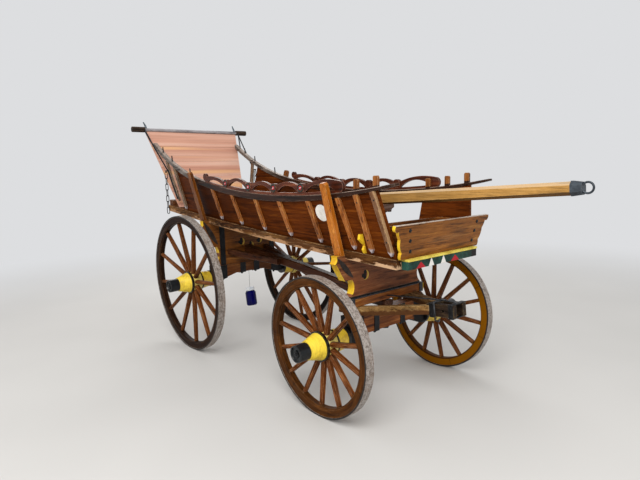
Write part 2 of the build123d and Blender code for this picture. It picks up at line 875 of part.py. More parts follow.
chain_y = iron_y(chain_x, chain_top_z)
stay_bar_x = tail_bar_x + tail_grip_size / 2 + rod_radius
link_y = chain_y + rod_radius + chain_link_width / 2 + 1
upper_stay = rod(
    (stay_bar_x, stay_bar_y, tail_bar_z - rod_radius),
    (stay_rail_x, rail_outer + rod_radius + 1, rail_z(stay_rail_x) - rail_depth / 2),
    rod_radius,
)
lower_stay = rod(
    (stay_bar_x, stay_bar_y, tail_bar_z - 3 * rod_radius), (chain_x, chain_y, chain_top_z), rod_radius
)
strut = rod(
    (chain_x, chain_y, chain_top_z), (strut_foot_x, iron_y(strut_foot_x, strut_foot_z), strut_foot_z), rod_radius
)
hook_z = (chain_top_z - rod_radius, chain_top_z + rod_radius)
hook_foot_y = flare_y(chain_x, hook_z[1]) + rib_thickness + 1
hook = block(chain_x - rod_radius, chain_x + rod_radius, hook_foot_y, link_y + rod_radius, *hook_z)
irons = upper_stay + lower_stay + hook + strut
keep("tail_irons", irons, mirrored(irons))

# Chain of flat links that hangs from the lower stay
link_pitch = chain_link_length - 2 * chain_wire
half_width = chain_link_width / 2
half_length = chain_link_length / 2
link_ring = cut_corners(half_width, half_length, half_width / 2)
inset_x = (half_width - chain_wire) / half_width
inset_z = (half_length - chain_wire) / half_length
link_face = outline(*[(p, 0, q) for p, q in link_ring])
link_face -= outline(*[(p * inset_x, 0, q * inset_z) for p, q in link_ring])
link = extrude(link_face.moved(Location((0, -chain_wire / 2, 0))), amount=chain_wire, dir=(0, 1, 0))
link_z = chain_top_z - rod_radius - 1 - half_length
chain = Pos(chain_x, link_y, link_z) * Rot(0, 0, 45) * link
for i in range(1, chain_link_count):
    chain += Pos(chain_x, link_y, link_z - i * link_pitch) * Rot(0, 0, 45 + 90 * i) * link
keep("tail_chains", chain, mirrored(chain))

# Wheels, built about the Y axis with the outer side towards +Y and the tyre's middle at zero
cone = math.tan(math.radians(camber))


def turned(points):
    """A solid of revolution about Y from radius and distance along the axle."""
    return revolve(outline(*[(r, y, 0) for r, y in points]), axis=Axis.Y)


def tyre(radius):
    h = tyre_width / 2
    t = tyre_thickness
    ring = [(radius - h * cone, h), (radius + h * cone, -h), (radius + h * cone - t, -h), (radius - h * cone - t, h)]
    return turned(ring)


def spoke_section(r, y, width, length):
    """Spoke section at one radius: an octagon, wider along the axle."""
    return outline(*[(r, y + q, p) for p, q in cut_corners(width / 2, length / 2, width / 3.4)])


def wheel_wood(radius, spoke_count):
    """Felloes and spokes in one, open where the hub sits. The first spoke points forward."""
    h = felloe_width / 2
    top = radius - tyre_thickness
    low = top - felloe_depth
    ring = [
        (top - h * cone, h),
        (top + h * cone, -h),
        (low + felloe_bevel, -h),
        (low, -h + felloe_bevel),
        (low, h - felloe_bevel),
        (low + felloe_bevel, h),
    ]
    wood = turned(ring)
    foot_r = hub_spoke_radius - 20
    foot_y = -dish * (low - foot_r) / (low - hub_spoke_radius)
    foot = spoke_section(foot_r, foot_y, spoke_foot_width, spoke_foot_length)
    head = spoke_section(low + felloe_bevel, 0, spoke_head_width, spoke_head_length)
    spoke = ruled([foot, head])
    for i in range(spoke_count):
        wood += Rot(0, 360 * i / spoke_count, 0) * spoke
    return wood - Rot(90, 0, 0) * Cylinder(hub_spoke_radius, 600)


hub_nose_y = -dish + hub_nose_length
hub_tail_y = -dish - hub_tail_length
hub_cap_y = hub_nose_y + hub_cap_length

# Iron bands of the hub. Columns: start and end along the axle from the spokes, height over the wood
hub_band_front = (32, 52, hub_band_proud)
hub_band_rear = (-80, -66, hub_hoop_proud)
hub_hoop_width = 23
hub_cap_recess = 14


def hub():
    """Turned hub with iron bands and cap. Columns: radius, distance along the axle."""
    s = hub_spoke_radius
    foot = -dish
    band_low, band_high, proud = hub_band_front
    ring_low, ring_high, ring_proud = hub_band_rear
    neck = (s + hub_tail_radius) / 2
    hoop_y = hub_tail_y + hub_hoop_width
    profile = [
        (0, hub_cap_y - hub_cap_recess),
        (hub_cap_radius - hub_cap_recess, hub_cap_y - hub_cap_recess),
        (hub_cap_radius - bevel * 2, hub_cap_y),
        (hub_cap_radius, hub_cap_y - bevel),
        (hub_cap_radius, hub_nose_y),
        (hub_nose_radius, hub_nose_y),
        (s, foot + band_high),
        (s + proud, foot + band_high),
        (s + proud, foot + band_low),
        (s, foot + band_low),
        (s, foot - band_low),
        (neck, foot + ring_high),
        (neck + ring_proud, foot + ring_high),
        (neck + ring_proud, foot + ring_low),
        (neck, foot + ring_low),
        (hub_tail_radius, hoop_y),
        (hub_tail_radius + hub_hoop_proud, hoop_y),
        (hub_tail_radius + hub_hoop_proud, hub_tail_y),
        (arm_radius + arm_clearance, hub_tail_y),
        (arm_end_radius + arm_clearance, hub_nose_y + hub_end_gap),
        (0, hub_nose_y + hub_end_gap),
    ]
    return turned(profile)


def arm():
    """The tapered end of an axle, inside the hub."""
    profile = [
        (0, hub_nose_y),
        (arm_end_radius + hub_end_gap * taper, hub_nose_y),
        (arm_radius, hub_tail_y),
        (arm_radius + hub_end_gap * taper, hub_tail_y - hub_end_gap),
        (arm_radius + hub_end_gap * taper, hub_tail_y - arm_root),
        (0, hub_tail_y - arm_root),
    ]
    return turned(profile)


taper = (arm_radius - arm_end_radius) / (hub_nose_y + hub_end_gap - hub_tail_y)

# Columns: name, station, radius, spokes, angle of the left and of the right wheel's first spoke over the road
wheel_table = [
    ("front", 0, front_radius, 14, 19.5, 14.2),
    ("rear", -wheelbase, rear_radius, 12, 7, 7),
]


def on_axle(shape, x, radius):
    """Move a wheel part from its own axis to the left end of an axle."""
    centre_z = radius * math.cos(math.radians(camber))
    return Pos(x, track / 2, centre_z) * Rot(-camber, 0, 0) * shape


hub_shape = hub()
arm_shape = arm()
for name, x, radius, spoke_count, left_angle, right_angle in wheel_table:
    wood = wheel_wood(radius, spoke_count)
    keep(f"{name}_left_spokes_and_felloes", on_axle(Rot(0, -left_angle, 0) * wood, x, radius))
    keep(f"{name}_right_spokes_and_felloes", mirrored(on_axle(Rot(0, -right_angle, 0) * wood, x, radius)))
    for piece, shape in (("hub", hub_shape), ("tyre", tyre(radius))):
        left = on_axle(shape, x, radius)
        keep(f"{name}_left_{piece}", left)
        keep(f"{name}_right_{piece}", mirrored(left))

# Axles: a beam with a tapered arm at each end, inside the hubs
beam_half = track / 2 + hub_tail_y - hub_end_gap - 10


def axle(x, radius, low_z, high_z, drop, inner, outer):
    """A beam whose underside drops towards the arms, between two shares of its half length."""
    end_low = low_z - drop
    face = outline(
        (x, -beam_half, end_low),
        (x, -beam_half * outer, end_low),
        (x, -beam_half * inner, low_z),
        (x, beam_half * inner, low_z),
        (x, beam_half * outer, end_low),
        (x, beam_half, end_low),
        (x, beam_half, high_z),
        (x, -beam_half, high_z),
    )
    beam = extrude(face.moved(Location((-axle_width / 2, 0, 0))), amount=axle_width, dir=(1, 0, 0))
    left = on_axle(arm_shape, x, radius)
    return beam + left + mirrored(left)


front_axle_low = axle_top_z - front_axle_depth
pin_hole = Pos(0, 0, front_bolster_foot_z) * Cylinder(king_pin_radius + pin_clearance, 900)
front_axle = axle(
    0, front_radius, front_axle_low, axle_top_z, front_axle_drop, front_axle_drop_inner, front_axle_drop_outer
)
front_axle -= pin_hole
rear_axle_low = rear_bolster_foot_z - rear_axle_depth
rear_axle = axle(
    -wheelbase,
    rear_radius,
    rear_axle_low,
    rear_bolster_foot_z,
    rear_axle_drop,
    rear_axle_drop_inner,
    rear_axle_drop_outer,
)
keep("front_axle", front_axle)
keep("rear_axle", rear_axle)

# Straps round the axle beams. Columns: distance out, width
front_straps = [(150, 52)]
rear_straps = [(85, 66), (321, 88)]


def straps(x, beam, table, high_z):
    """Iron that follows the underside and both faces of a beam."""
    found = []
    for y, width in table:
        for side in (-1, 1):
            y0, y1 = sorted((side * (y - width / 2), side * (y + width / 2)))
            slice_xs = (x - axle_width / 2 - band_thickness, x + axle_width / 2 + band_thickness)
            piece = beam & block(*slice_xs, y0, y1, 0, high_z)
            low0, low1 = [underside(beam, x, y_end) for y_end in (y0, y1)]
            face = outline(
                (slice_xs[0], y0, low0 - band_thickness),
                (slice_xs[0], y1, low1 - band_thickness),
                (slice_xs[0], y1, high_z),
                (slice_xs[0], y0, high_z),
            )
            found.append(extrude(face, amount=slice_xs[1] - slice_xs[0], dir=(1, 0, 0)) - piece)
    return found


def underside(beam, x, y):
    """Lowest height of a beam near one place."""
    return (beam & block(x - 1, x + 1, y - 1, y + 1, 0, 3000)).bounding_box().min.Z


keep("front_axle_straps", *straps(0, front_axle, front_straps, axle_top_z))
keep("rear_axle_straps", *straps(-wheelbase, rear_axle, rear_straps, rear_bolster_foot_z))

# Sand board, on the tongs and under the front bolster, with a wear plate and a clip over each end
sand_top_z = front_bolster_foot_z - wear_plate - turn_gap - wear_plate
sand_low_z = sand_top_z - sand_board_depth
sand_face = axle_width / 2 - wear_plate
sand_board = block(-sand_face, sand_face, -sand_board_half, sand_board_half, sand_low_z, sand_top_z)
sand_board -= pin_hole
keep("sand_board", chamfer(sand_board.edges().filter_by(Axis.Y), bevel))
clip_outer = sand_board_half - sand_clip_inset
clip_inner = clip_outer - sand_clip_width
sand_plate = block(-sand_face, sand_face, -clip_outer, clip_outer, sand_top_z, sand_top_z + wear_plate)
for side in (-1, 1):
    y0, y1 = sorted((side * clip_inner, side * clip_outer))
    for x0, x1 in ((-axle_width / 2, -sand_face), (sand_face, axle_width / 2)):
        sand_plate += block(x0, x1, y0, y1, sand_low_z - sand_clip_hang, sand_top_z + wear_plate)
keep("sand_board_plate", sand_plate - pin_hole)

# Irons of the bolsters: wear plate under the front one, and a strap beside each scroll
bolster_irons = [
    block(
        -bolster_width / 2,
        bolster_width / 2,
        -front_bolster_foot_half,
        front_bolster_foot_half,
        front_bolster_foot_z - wear_plate,
        front_bolster_foot_z,
    )
    - pin_hole
]


# Flat iron on the face of a bolster, from the stake down beside the slope.
# Columns: distance out from the foot, share of the way up to the rail
strap_upper = [(130, 1.05), (49, 0.85), (-23, 0.486)]
strap_lower = [(3, 0.53), (55, 0.663), (111, 0.934)]
scroll_strap_thickness = 5


def scroll_strap(x, foot_z, foot_half, side):
    """One flat iron, on the front or the rear face of a bolster."""
    rise = sole_z(x) - foot_z
    face_x = x + side * bolster_width / 2
    upper, lower = [
        [(face_x, foot_half + out, foot_z + share * rise) for out, share in points]
        for points in (strap_upper, strap_lower)
    ]
    lines = [ThreePointArc(*upper), Line(upper[-1], lower[0]), ThreePointArc(*lower), Line(lower[-1], upper[0])]
    face = Face(Wire([e for line in lines for e in line.edges()]))
    return extrude(face, amount=scroll_strap_thickness, dir=(side, 0, 0))


for x, foot_z, half in (
    (0, front_bolster_foot_z, front_bolster_foot_half),
    (-wheelbase, rear_bolster_foot_z, rear_bolster_foot_half),
):
    for side in (-1, 1):
        flat = scroll_strap(x, foot_z, half, side)
        bolster_irons += [flat, mirrored(flat)]
keep("bolster_irons", *bolster_irons)

# Upright irons down the front of the rear bolster to the axle
brace_y = 304
brace_width = 56
brace_face_x = -wheelbase + bolster_width / 2
brace = block(
    brace_face_x,
    brace_face_x + 8,
    brace_y - brace_width / 2,
    brace_y + brace_width / 2,
    rear_bolster_foot_z + 2,
    sole_z(-wheelbase) - 12,
)
keep("rear_bolster_braces", brace, mirrored(brace))

# King pin through the front bolster, reach, sand board and front axle
pin_low = front_axle_low - 22
pin_length = king_pin_top_z - pin_low
king_pin = Pos(0, 0, pin_low + pin_length / 2) * Cylinder(king_pin_radius, pin_length)
king_pin += Pos(0, 0, pin_low) * extrude(RegularPolygon(king_pin_head, 6), amount=king_pin_head_height)
keep("king_pin", king_pin)

# Tongs: two arms on the axle that come together at the pole block
tong_height = sand_low_z - axle_top_z
tong_z = axle_top_z + tong_height / 2
arm_sections = [
    (-130, 338, tong_z, 58, tong_height - 8),
    (-axle_width / 2, 330, tong_z, 60, tong_height),
    (axle_width / 2, 300, tong_z, 62, tong_height),
    (block_rear_x + 20, 46, block_rear_z + block_depth / 2, 52, tong_height),
]
tong = ruled([upright(x, y, z, width, depth) for x, y, z, width, depth in arm_sections])

# Pole block: two cheeks with a slot for the pole, pitched up, bound by iron bands
block_frame = Pos(block_rear_x, 0, block_rear_z) * Rot(0, -block_pitch, 0)
solid_block = block(0, block_length, -block_width / 2, block_width / 2, 0, block_depth)
solid_block = chamfer(solid_block.edges().filter_by(Axis.X), bevel)
slot_half = pole_slot_width / 2
slot = block(block_length - pole_slot_depth, block_length + 1, -slot_half, slot_half, -1, block_depth + 1)
pin_bore = Rot(90, 0, 0) * Cylinder(pole_pin_radius, block_width + 2)
pin_bore = Pos(block_length - pole_pin_setback, 0, block_depth / 2) * pin_bore
pole_block = block_frame * (solid_block - slot - pin_bore)
tong_left = tong - block_frame * solid_block
keep("tongs", *[max(side.solids(), key=lambda s: s.volume) for side in (tong_left, mirrored(tong_left))])
keep("pole_block", pole_block)
bands = []
block_half = block_width / 2
band_half = block_half + band_thickness
for x in (26, block_length - band_width - bevel):
    outer = block(x, x + band_width, -band_half, band_half, -band_thickness, block_depth + band_thickness)
    inner = block(x - 1, x + band_width + 1, -block_half, block_half, 0, block_depth)
    bands.append(block_frame * (outer - inner))
keep("pole_block_bands", *bands)

# Draught pole: its butt stands on the floor and it lies on the seat's rear edge
rest = (seat_rear_x, seat_top_z)
butt = (pole_butt_x, floor_z(pole_butt_x))
pole_slope = math.atan2(rest[1] - butt[1], rest[0] - butt[0])
pole_length = (pole_tip_x - pole_butt_x) / math.cos(pole_slope)
pole_frame = Pos(pole_butt_x, 0, butt[1]) * Rot(0, -math.degrees(pole_slope), 0)


def pole_section(x, size, corner):
    return upright(x, 0, size / 2, size * 0.92, size, corner)


pole = ruled(
    [
        pole_section(0, pole_butt_size, 6),
        pole_section(pole_length * 0.45, pole_butt_size, 10),
        pole_section(pole_length, pole_tip_size, 20),
    ]
)
keep("pole", pole_frame * pole)
cap_solid = ruled(
    [
        pole_section(pole_length, pole_tip_size + 2 * pole_cap_wall, 22).moved(Location((0, 0, -pole_cap_wall))),
        pole_section(pole_length + pole_cap_length, pole_tip_size - 8, 20).moved(Location((0, 0, 2))),
    ]
)
ring_x = pole_length + pole_cap_length + pole_ring_radius - 8
pole_ring = Pos(ring_x, 0, pole_tip_size / 2) * Rot(90, 0, 0) * Torus(pole_ring_radius, pole_ring_wire)
keep("pole_tip_irons", pole_frame * (cap_solid + pole_ring))

# Grease pot on a wire under the rear axle. Columns: radius, share of the height
pot_profile = [
    (0, 0),
    (pot_radius - 8, 0),
    (pot_radius, 0.06),
    (pot_radius, 0.70),
    (pot_lid_radius - 6, 0.82),
    (pot_lid_radius, 0.84),
    (pot_lid_radius, 1),
    (0, 1),
]
pot = revolve(outline(*[(r, 0, share * pot_height) for r, share in pot_profile]), axis=Axis.Z)
pot = Pos(pot_foot_x, 0, pot_foot_z) * Rot(0, -pot_tilt, 0) * pot
lid_x = pot_foot_x - pot_height * math.sin(math.radians(pot_tilt))
lid_z = pot_foot_z + pot_height * math.cos(math.radians(pot_tilt))
wire_length = rear_axle_low - 1 - lid_z + bevel
wire = Pos(lid_x, 0, rear_axle_low - 1 - wire_length / 2) * Cylinder(pot_wire, wire_length)
keep("grease_pot", pot + wire)

# Move the origin to the ground under the middle of the whole wagon, and write one file a piece
boxes = [part.bounding_box() for parts in body_nodes.values() for part in parts]
rear_x, front_x = min(box.min.X for box in boxes), max(box.max.X for box in boxes)
lowest_z, highest_z = min(box.min.Z for box in boxes), max(box.max.Z for box in boxes)
middle_x = (rear_x + front_x) / 2
for name, parts in body_nodes.items():
    moved = [part.moved(Location((-middle_x, 0, -lowest_z))) for part in parts]
    export_step(moved[0] if len(moved) == 1 else Compound(children=moved), f"parts/{name}.step")
print("middle station", round(middle_x, 3), "lowest", round(lowest_z, 4), "nodes", len(body_nodes))
print("length", round(front_x - rear_x, 1), "height", round(highest_z - lowest_z, 1))
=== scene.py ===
import json
import math

import bpy
from mathutils import Matrix, Vector
from mathutils.bvhtree import BVHTree


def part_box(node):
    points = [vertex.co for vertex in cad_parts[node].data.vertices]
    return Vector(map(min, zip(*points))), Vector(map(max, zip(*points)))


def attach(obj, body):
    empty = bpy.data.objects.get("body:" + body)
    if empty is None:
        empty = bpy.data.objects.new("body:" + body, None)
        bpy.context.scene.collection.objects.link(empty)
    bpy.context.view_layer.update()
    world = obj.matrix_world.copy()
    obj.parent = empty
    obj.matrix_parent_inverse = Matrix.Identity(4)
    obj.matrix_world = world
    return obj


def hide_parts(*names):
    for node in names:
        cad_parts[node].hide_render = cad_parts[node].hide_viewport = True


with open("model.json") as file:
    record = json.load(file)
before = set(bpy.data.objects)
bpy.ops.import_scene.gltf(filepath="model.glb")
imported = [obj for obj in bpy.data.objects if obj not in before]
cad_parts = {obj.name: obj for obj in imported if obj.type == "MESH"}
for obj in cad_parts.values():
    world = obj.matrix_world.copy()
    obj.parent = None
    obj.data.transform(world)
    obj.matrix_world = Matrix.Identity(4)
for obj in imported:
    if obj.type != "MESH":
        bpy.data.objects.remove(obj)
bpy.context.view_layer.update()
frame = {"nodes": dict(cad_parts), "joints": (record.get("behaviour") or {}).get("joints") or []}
nodes = frame["nodes"]
hinges = {joint["name"]: joint for joint in frame["joints"]}

# Camera. It stands to the right of the wagon's front corner, at eye height, and looks back and a little
# down. Its sensor matches the photograph's frame, and it is tilted a little over to one side.
axle_x = hinges["steering"]["pos_m"][0]
camera = bpy.data.objects.new("camera", bpy.data.cameras.new("camera"))
bpy.context.scene.collection.objects.link(camera)
camera.data.sensor_width = 36.0
camera.data.lens = 28.06
camera.location = (axle_x + 2.558, -2.840, 1.682)
heading = Matrix.Rotation(math.radians(49.38), 3, "Z")
pitch = Matrix.Rotation(math.radians(90.0 - 7.44), 3, "X")
roll = Matrix.Rotation(math.radians(-1.57), 3, "Z")
camera.rotation_euler = (heading @ pitch @ roll).to_euler()
bpy.context.scene.camera = camera


# Light. One broad soft lamp stands over the camera's side, a weaker one over the far side, and the room
# itself gives an even light from all round, as an overcast yard does.
def lamp(name, place, aim, size, power):
    data = bpy.data.lights.new(name, "AREA")
    data.size = size
    data.energy = power
    data.color = (1.0, 0.97, 0.92)
    holder = bpy.data.objects.new(name, data)
    holder.location = place
    holder.rotation_euler = (Vector(aim) - Vector(place)).to_track_quat("-Z", "Y").to_euler()
    bpy.context.scene.collection.objects.link(holder)


lamp("key_lamp", (3.6, -4.6, 5.6), (0.0, 0.0, 0.9), 4.5, 430.0)
lamp("fill_lamp", (-5.5, 3.5, 5.0), (0.0, 0.0, 1.0), 5.0, 150.0)
bpy.context.scene.view_settings.view_transform = "Standard"


# Floor and room. A wide pale sheet takes the wagon's soft shadow near the wheels. Further out it fades into
# the pale tone of the room, so that no line shows where the two meet.
def colour(text):
    """A colour written as six hex digits, in the linear values that the shaders take."""
    parts = [int(text[i : i + 2], 16) / 255 for i in (0, 2, 4)]
    return tuple(c / 12.92 if c <= 0.04045 else ((c + 0.055) / 1.055) ** 2.4 for c in parts) + (1.0,)


def put(tree, kind, values=None, **settings):
    """Adds a node, of a shader where the kind is short. A value goes to the input of that name."""
    node = tree.nodes.new(kind if "Node" in kind else "ShaderNode" + kind)
    for key, value in settings.items():
        setattr(node, key, value)
    for key, value in (values or {}).items():
        if isinstance(value, bpy.types.NodeSocket):
            tree.links.new(value, node.inputs[key])
        else:
            node.inputs[key].default_value = value
    return node


def owner(*values):
    """The tree that the first socket among some values belongs to."""
    return next(value.id_data for value in values if isinstance(value, bpy.types.NodeSocket))


def maths(operation, a, b=0.0, c=0.0):
    """One sum on numbers, in the tree that they come from."""
    return put(owner(a, b, c), "Math", {0: a, 1: b, 2: c}, operation=operation).outputs[0]


def times(a, b):
    """A number scaled, or what two shares have in common."""
    return maths("MULTIPLY", a, b)


def here(tree):
    """The place on the piece, in the frame that all pieces share."""
    return put(tree, "TexCoord").outputs["Object"]


def spread(place):
    """A place's three numbers."""
    return put(place.id_data, "SeparateXYZ", {0: place}).outputs


def looked_at(tree):
    """1 on rays that bring a picture to the camera, 0 on those that only bring light."""
    rays = put(tree, "LightPath").outputs
    seen = maths("MAXIMUM", rays["Is Camera Ray"], rays["Is Transmission Ray"])
    return maths("MAXIMUM", seen, rays["Is Glossy Ray"])


def between(value, low, high, at_low=0.0, at_high=1.0, **settings):
    """A number's way from low to high, laid over another range."""
    values = {"Value": value, "From Min": low, "From Max": high, "To Min": at_low, "To Max": at_high}
    return put(value.id_data, "MapRange", values, **settings).outputs[0]


room_tone = colour("dddee0")
room = bpy.data.worlds.new("pale_room")
bpy.context.scene.world = room
room.use_nodes = True
tree = room.node_tree
tree.nodes.clear()
light = put(tree, "Background", {"Color": (1.0, 0.985, 0.96, 1.0), "Strength": 0.66}).outputs[0]
wall = put(tree, "Background", {"Color": room_tone, "Strength": 1.0}).outputs[0]
blend = put(tree, "MixShader", {0: looked_at(tree), 1: light, 2: wall}).outputs[0]
put(tree, "OutputWorld", {"Surface": blend})

floor_sheet = bpy.data.materials.new("floor_sheet")
floor_sheet.use_nodes = True
tree = floor_sheet.node_tree
shader = tree.nodes["Principled BSDF"]
place = here(tree)
mottle = put(tree, "TexNoise", {"Vector": place, "Scale": 0.6}).outputs["Fac"]
tone = between(mottle, 0.3, 0.7, 0.60, 0.64)
shade = put(tree, "CombineColor", {0: tone, 1: tone, 2: tone}).outputs[0]
tree.links.new(shade, shader.inputs["Base Color"])
shader.inputs["Roughness"].default_value = 0.9
out = put(tree, "VectorMath", {0: place}, operation="LENGTH").outputs["Value"]
fade_from, fade_to = 3.5, 9.0
faded = between(out, fade_from, fade_to, interpolation_type="SMOOTHSTEP")
glow = put(tree, "Emission", {"Color": room_tone, "Strength": 1.0}).outputs[0]
fade = times(faded, looked_at(tree))
blend = put(tree, "MixShader", {0: fade, 1: shader.outputs[0], 2: glow}).outputs[0]
tree.links.new(blend, tree.nodes["Material Output"].inputs["Surface"])
floor_mesh = bpy.data.meshes.new("floor")
far = 60
floor_mesh.from_pydata([(-far, -far, 0), (far, -far, 0), (far, far, 0), (-far, far, 0)], [], [(0, 1, 2, 3)])
floor = bpy.data.objects.new("floor", floor_mesh)
floor.data.materials.append(floor_sheet)
bpy.context.scene.collection.objects.link(floor)


# Tyres. Flat iron bars bent round, welded and shrunk hot onto the felloes. The tread is scoured grey by the
# road, with brown rust in its pits, and the sides are black.
def mix(factor, a, b, blend="MIX"):
    """Mixes two colours. Each is six hex digits, a grey from 0 to 1 or another node's output."""
    tree = owner(factor, a, b)
    node = put(tree, "Mix", {"Factor": factor}, data_type="RGBA", blend_type=blend)
    for socket, value in ((node.inputs[6], a), (node.inputs[7], b)):
        if isinstance(value, bpy.types.NodeSocket):
            tree.links.new(value, socket)
        else:
            socket.default_value = colour(value) if isinstance(value, str) else (value, value, value, 1.0)
    return node.outputs[2]


def ramp(factor, *stops, steps=False):
    """Colours laid along a number, as stops of position and colour."""
    node = put(factor.id_data, "ValToRGB", {0: factor})
    node.color_ramp.interpolation = "CONSTANT" if steps else "LINEAR"
    marks = node.color_ramp.elements
    while len(marks) < len(stops):
        marks.new(0.5)
    for mark, (position, shade) in zip(marks, sorted(stops)):
        mark.position = position
        mark.color = colour(shade) if isinstance(shade, str) else (shade, shade, shade, 1.0)
    return node.outputs["Color"]


def past(value, limit):
    """1 where a number is past a limit, 0 elsewhere."""
    return maths("GREATER_THAN", value, limit)


def noise(vector, scale, detail=4.0, roughness=0.55, distortion=0.0):
    values = {"Vector": vector, "Scale": scale, "Detail": detail}
    values |= {"Roughness": roughness, "Distortion": distortion}
    return put(vector.id_data, "TexNoise", values).outputs["Fac"]


def frayed(value, amount, vector, scale, detail=4.0, roughness=0.55):
    """A number with some noise on it, so that a limit drawn through it runs ragged."""
    return maths("MULTIPLY_ADD", noise(vector, scale, detail, roughness), amount, value)


def blank(name, gloss, coat=0.0, shine=0.12):
    """A material with a bare shader, its tree and the shader's inputs."""
    material = bpy.data.materials.new(name)
    material.use_nodes = True
    inputs = material.node_tree.nodes["Principled BSDF"].inputs
    inputs["Roughness"].default_value = gloss
    inputs["Coat Weight"].default_value = coat
    inputs["Coat Roughness"].default_value = 0.22
    inputs["Specular IOR Level"].default_value = shine
    return material, material.node_tree, inputs


def cover(shader, shade, height, strength=0.3, depth=0.003):
    """Lays a colour on, and lets a height catch the light."""
    tree = shade.id_data
    tree.links.new(shade, shader["Base Color"])
    node = put(tree, "Bump", {"Height": height, "Strength": strength, "Distance": depth})
    tree.links.new(node.outputs["Normal"], shader["Normal"])


def share_along(line, way):
    """How far a line runs along a direction."""
    return put(line.id_data, "VectorMath", {0: line, 1: way}, operation="DOT_PRODUCT").outputs["Value"]


def line_from(centre, place):
    return put(place.id_data, "VectorMath", {0: place, 1: centre}, operation="SUBTRACT").outputs[0]


def rubbed(radius, low, spots, *stops, high=0.98):
    """How far an outside edge is worn, in the spots that stops pick out of a noise."""
    tree = spots.id_data
    rounded = put(tree, "Bevel", {"Radius": radius}, samples=4).outputs["Normal"]
    turn = share_along(rounded, put(tree, "NewGeometry").outputs["Normal"])
    return times(between(turn, low, high, 1.0, 0.0), ramp(spots, *stops))


def wheel_places(tree, centre, axis):
    """Distance along the axle, distance from it and angle round it, at each place on a wheel."""
    place = here(tree)
    off = line_from(centre, place)
    forward = Vector((1.0, 0.0, 0.0))
    ahead = share_along(off, forward)
    above = share_along(off, Vector(axis).cross(forward))
    reach = maths("SQRT", maths("MULTIPLY_ADD", ahead, ahead, times(above, above)))
    return place, share_along(off, axis), reach, maths("ARCTAN2", above, ahead)


def drawn_out(*numbers):
    """A place for a noise, from three numbers, each with how fast the noise is to change along it."""
    parts = {at: times(value, pace) for at, (value, pace) in enumerate(numbers)}
    return put(parts[0].id_data, "CombineXYZ", parts).outputs[0]


def facing(tree, way):
    """How squarely a surface faces along a direction, from -1 to 1."""
    return share_along(put(tree, "TexCoord").outputs["Normal"], way)


def tyre_iron(name, centre, axis):
    material, tree, shader = blank(name, 0.55, 0.0, 0.3)
    place, along, reach, angle = wheel_places(tree, centre, axis)
    scored_at = drawn_out((along, 110.0), (angle, 6.0), (reach, 20.0))
    scratches = noise(scored_at, 1.0, 6.0, 0.7)
    pits = noise(place, 60.0, 6.0, 0.78)
    patches = noise(place, 12.0, 5.0, 0.65)
    tread = ramp(scratches, (0.30, "8b8079"), (0.50, "a89f99"), (0.68, "c9c3be"))
    tread = mix(0.75, tread, ramp(pits, (0.40, "6b5a4e"), (0.54, "ffffff")), "MULTIPLY")
    tread = mix(ramp(patches, (0.50, 0.0), (0.64, 0.45)), tread, "7d6656")
    side = past(maths("ABSOLUTE", facing(tree, axis)), 0.6)
    rust = ramp(pits, (0.35, "141313"), (0.62, "332f2d"))
    shader["Metallic"].default_value = 0.25
    cover(shader, mix(side, tread, rust), maths("ADD", scratches, pits), 0.5, 0.002)
    return material


def dress(material, *names):
    """Gives CAD pieces their finish."""
    for name in names:
        piece = nodes[name].data
        piece.materials.clear()
        piece.materials.append(material)


corners = ("front_left", "front_right", "rear_left", "rear_right")
for corner in corners:
    hinge = hinges[corner + "_wheel_spin"]
    dress(tyre_iron(corner + "_tyre_iron", tuple(hinge["pos_m"]), tuple(hinge["axis"])), corner + "_tyre")


# Spokes and felloes. Cleft ash spokes, shaved to eight sides, driven into the hub and into sawn ash
# felloes, two spokes to a felloe. All of it is varnished brown. The front felloes' inner faces are painted
# ochre, and the rear felloes' near-black inner faces are painted shade.
def minus(a, b):
    return maths("SUBTRACT", a, b)


def wood_look(along, place, tones, pale, wear, rings=5.0, splits=0.0):
    """Year rings, streaks, pores, stains, open splits and rubbed edges, as a colour and a height."""
    dark, body, light = tones
    slow = noise(along, 0.50, 3.0, 0.5, 0.5)
    figure = maths("SINE", times(slow, rings * 2.0 * math.pi))
    streaks = noise(along, 2.4, 7.0, 0.66, 0.5)
    tone = maths("MULTIPLY_ADD", figure, 0.07, streaks)
    wood = ramp(tone, (0.34, dark), (0.46, body), (0.56, body), (0.70, light))
    pores = noise(along, 8.0, 4.0, 0.72)
    wood = mix(0.5, wood, ramp(pores, (0.38, 0.35), (0.50, 1.0)), "MULTIPLY")
    cloud = noise(place, 2.3, 4.0, 0.55)
    wood = mix(0.5, wood, ramp(cloud, (0.36, 0.45), (0.60, 1.0)), "MULTIPLY")
    ragged = noise(place, 26.0, 5.0, 0.7)
    edge = rubbed(0.006, 0.80, ragged, (0.40, 0.0), (0.56, 1.0), high=0.985)
    scuffs = ramp(noise(along, 1.7, 6.0, 0.75), (0.54, 0.0), (0.68, 1.0))
    edge = times(edge, min(1.0, wear * 1.7))
    bare = maths("MAXIMUM", edge, times(scuffs, wear * 0.32))
    wood = mix(bare, wood, pale)
    height = maths("ADD", maths("ADD", streaks, pores), times(bare, -0.3))
    if splits:
        crack = noise(along, 0.9, 4.0, 0.6, 0.2)
        gap = maths("ABSOLUTE", minus(crack, 0.5))
        line = ramp(gap, (0.0, 1.0), (0.008, 1.0), (0.016, 0.0))
        line = times(line, ramp(noise(place, 5.0), (0.44, 0.0), (0.52, splits)))
        wood = mix(line, wood, "140c08")
        height = maths("MULTIPLY_ADD", line, -1.2, height)
    return wood, height


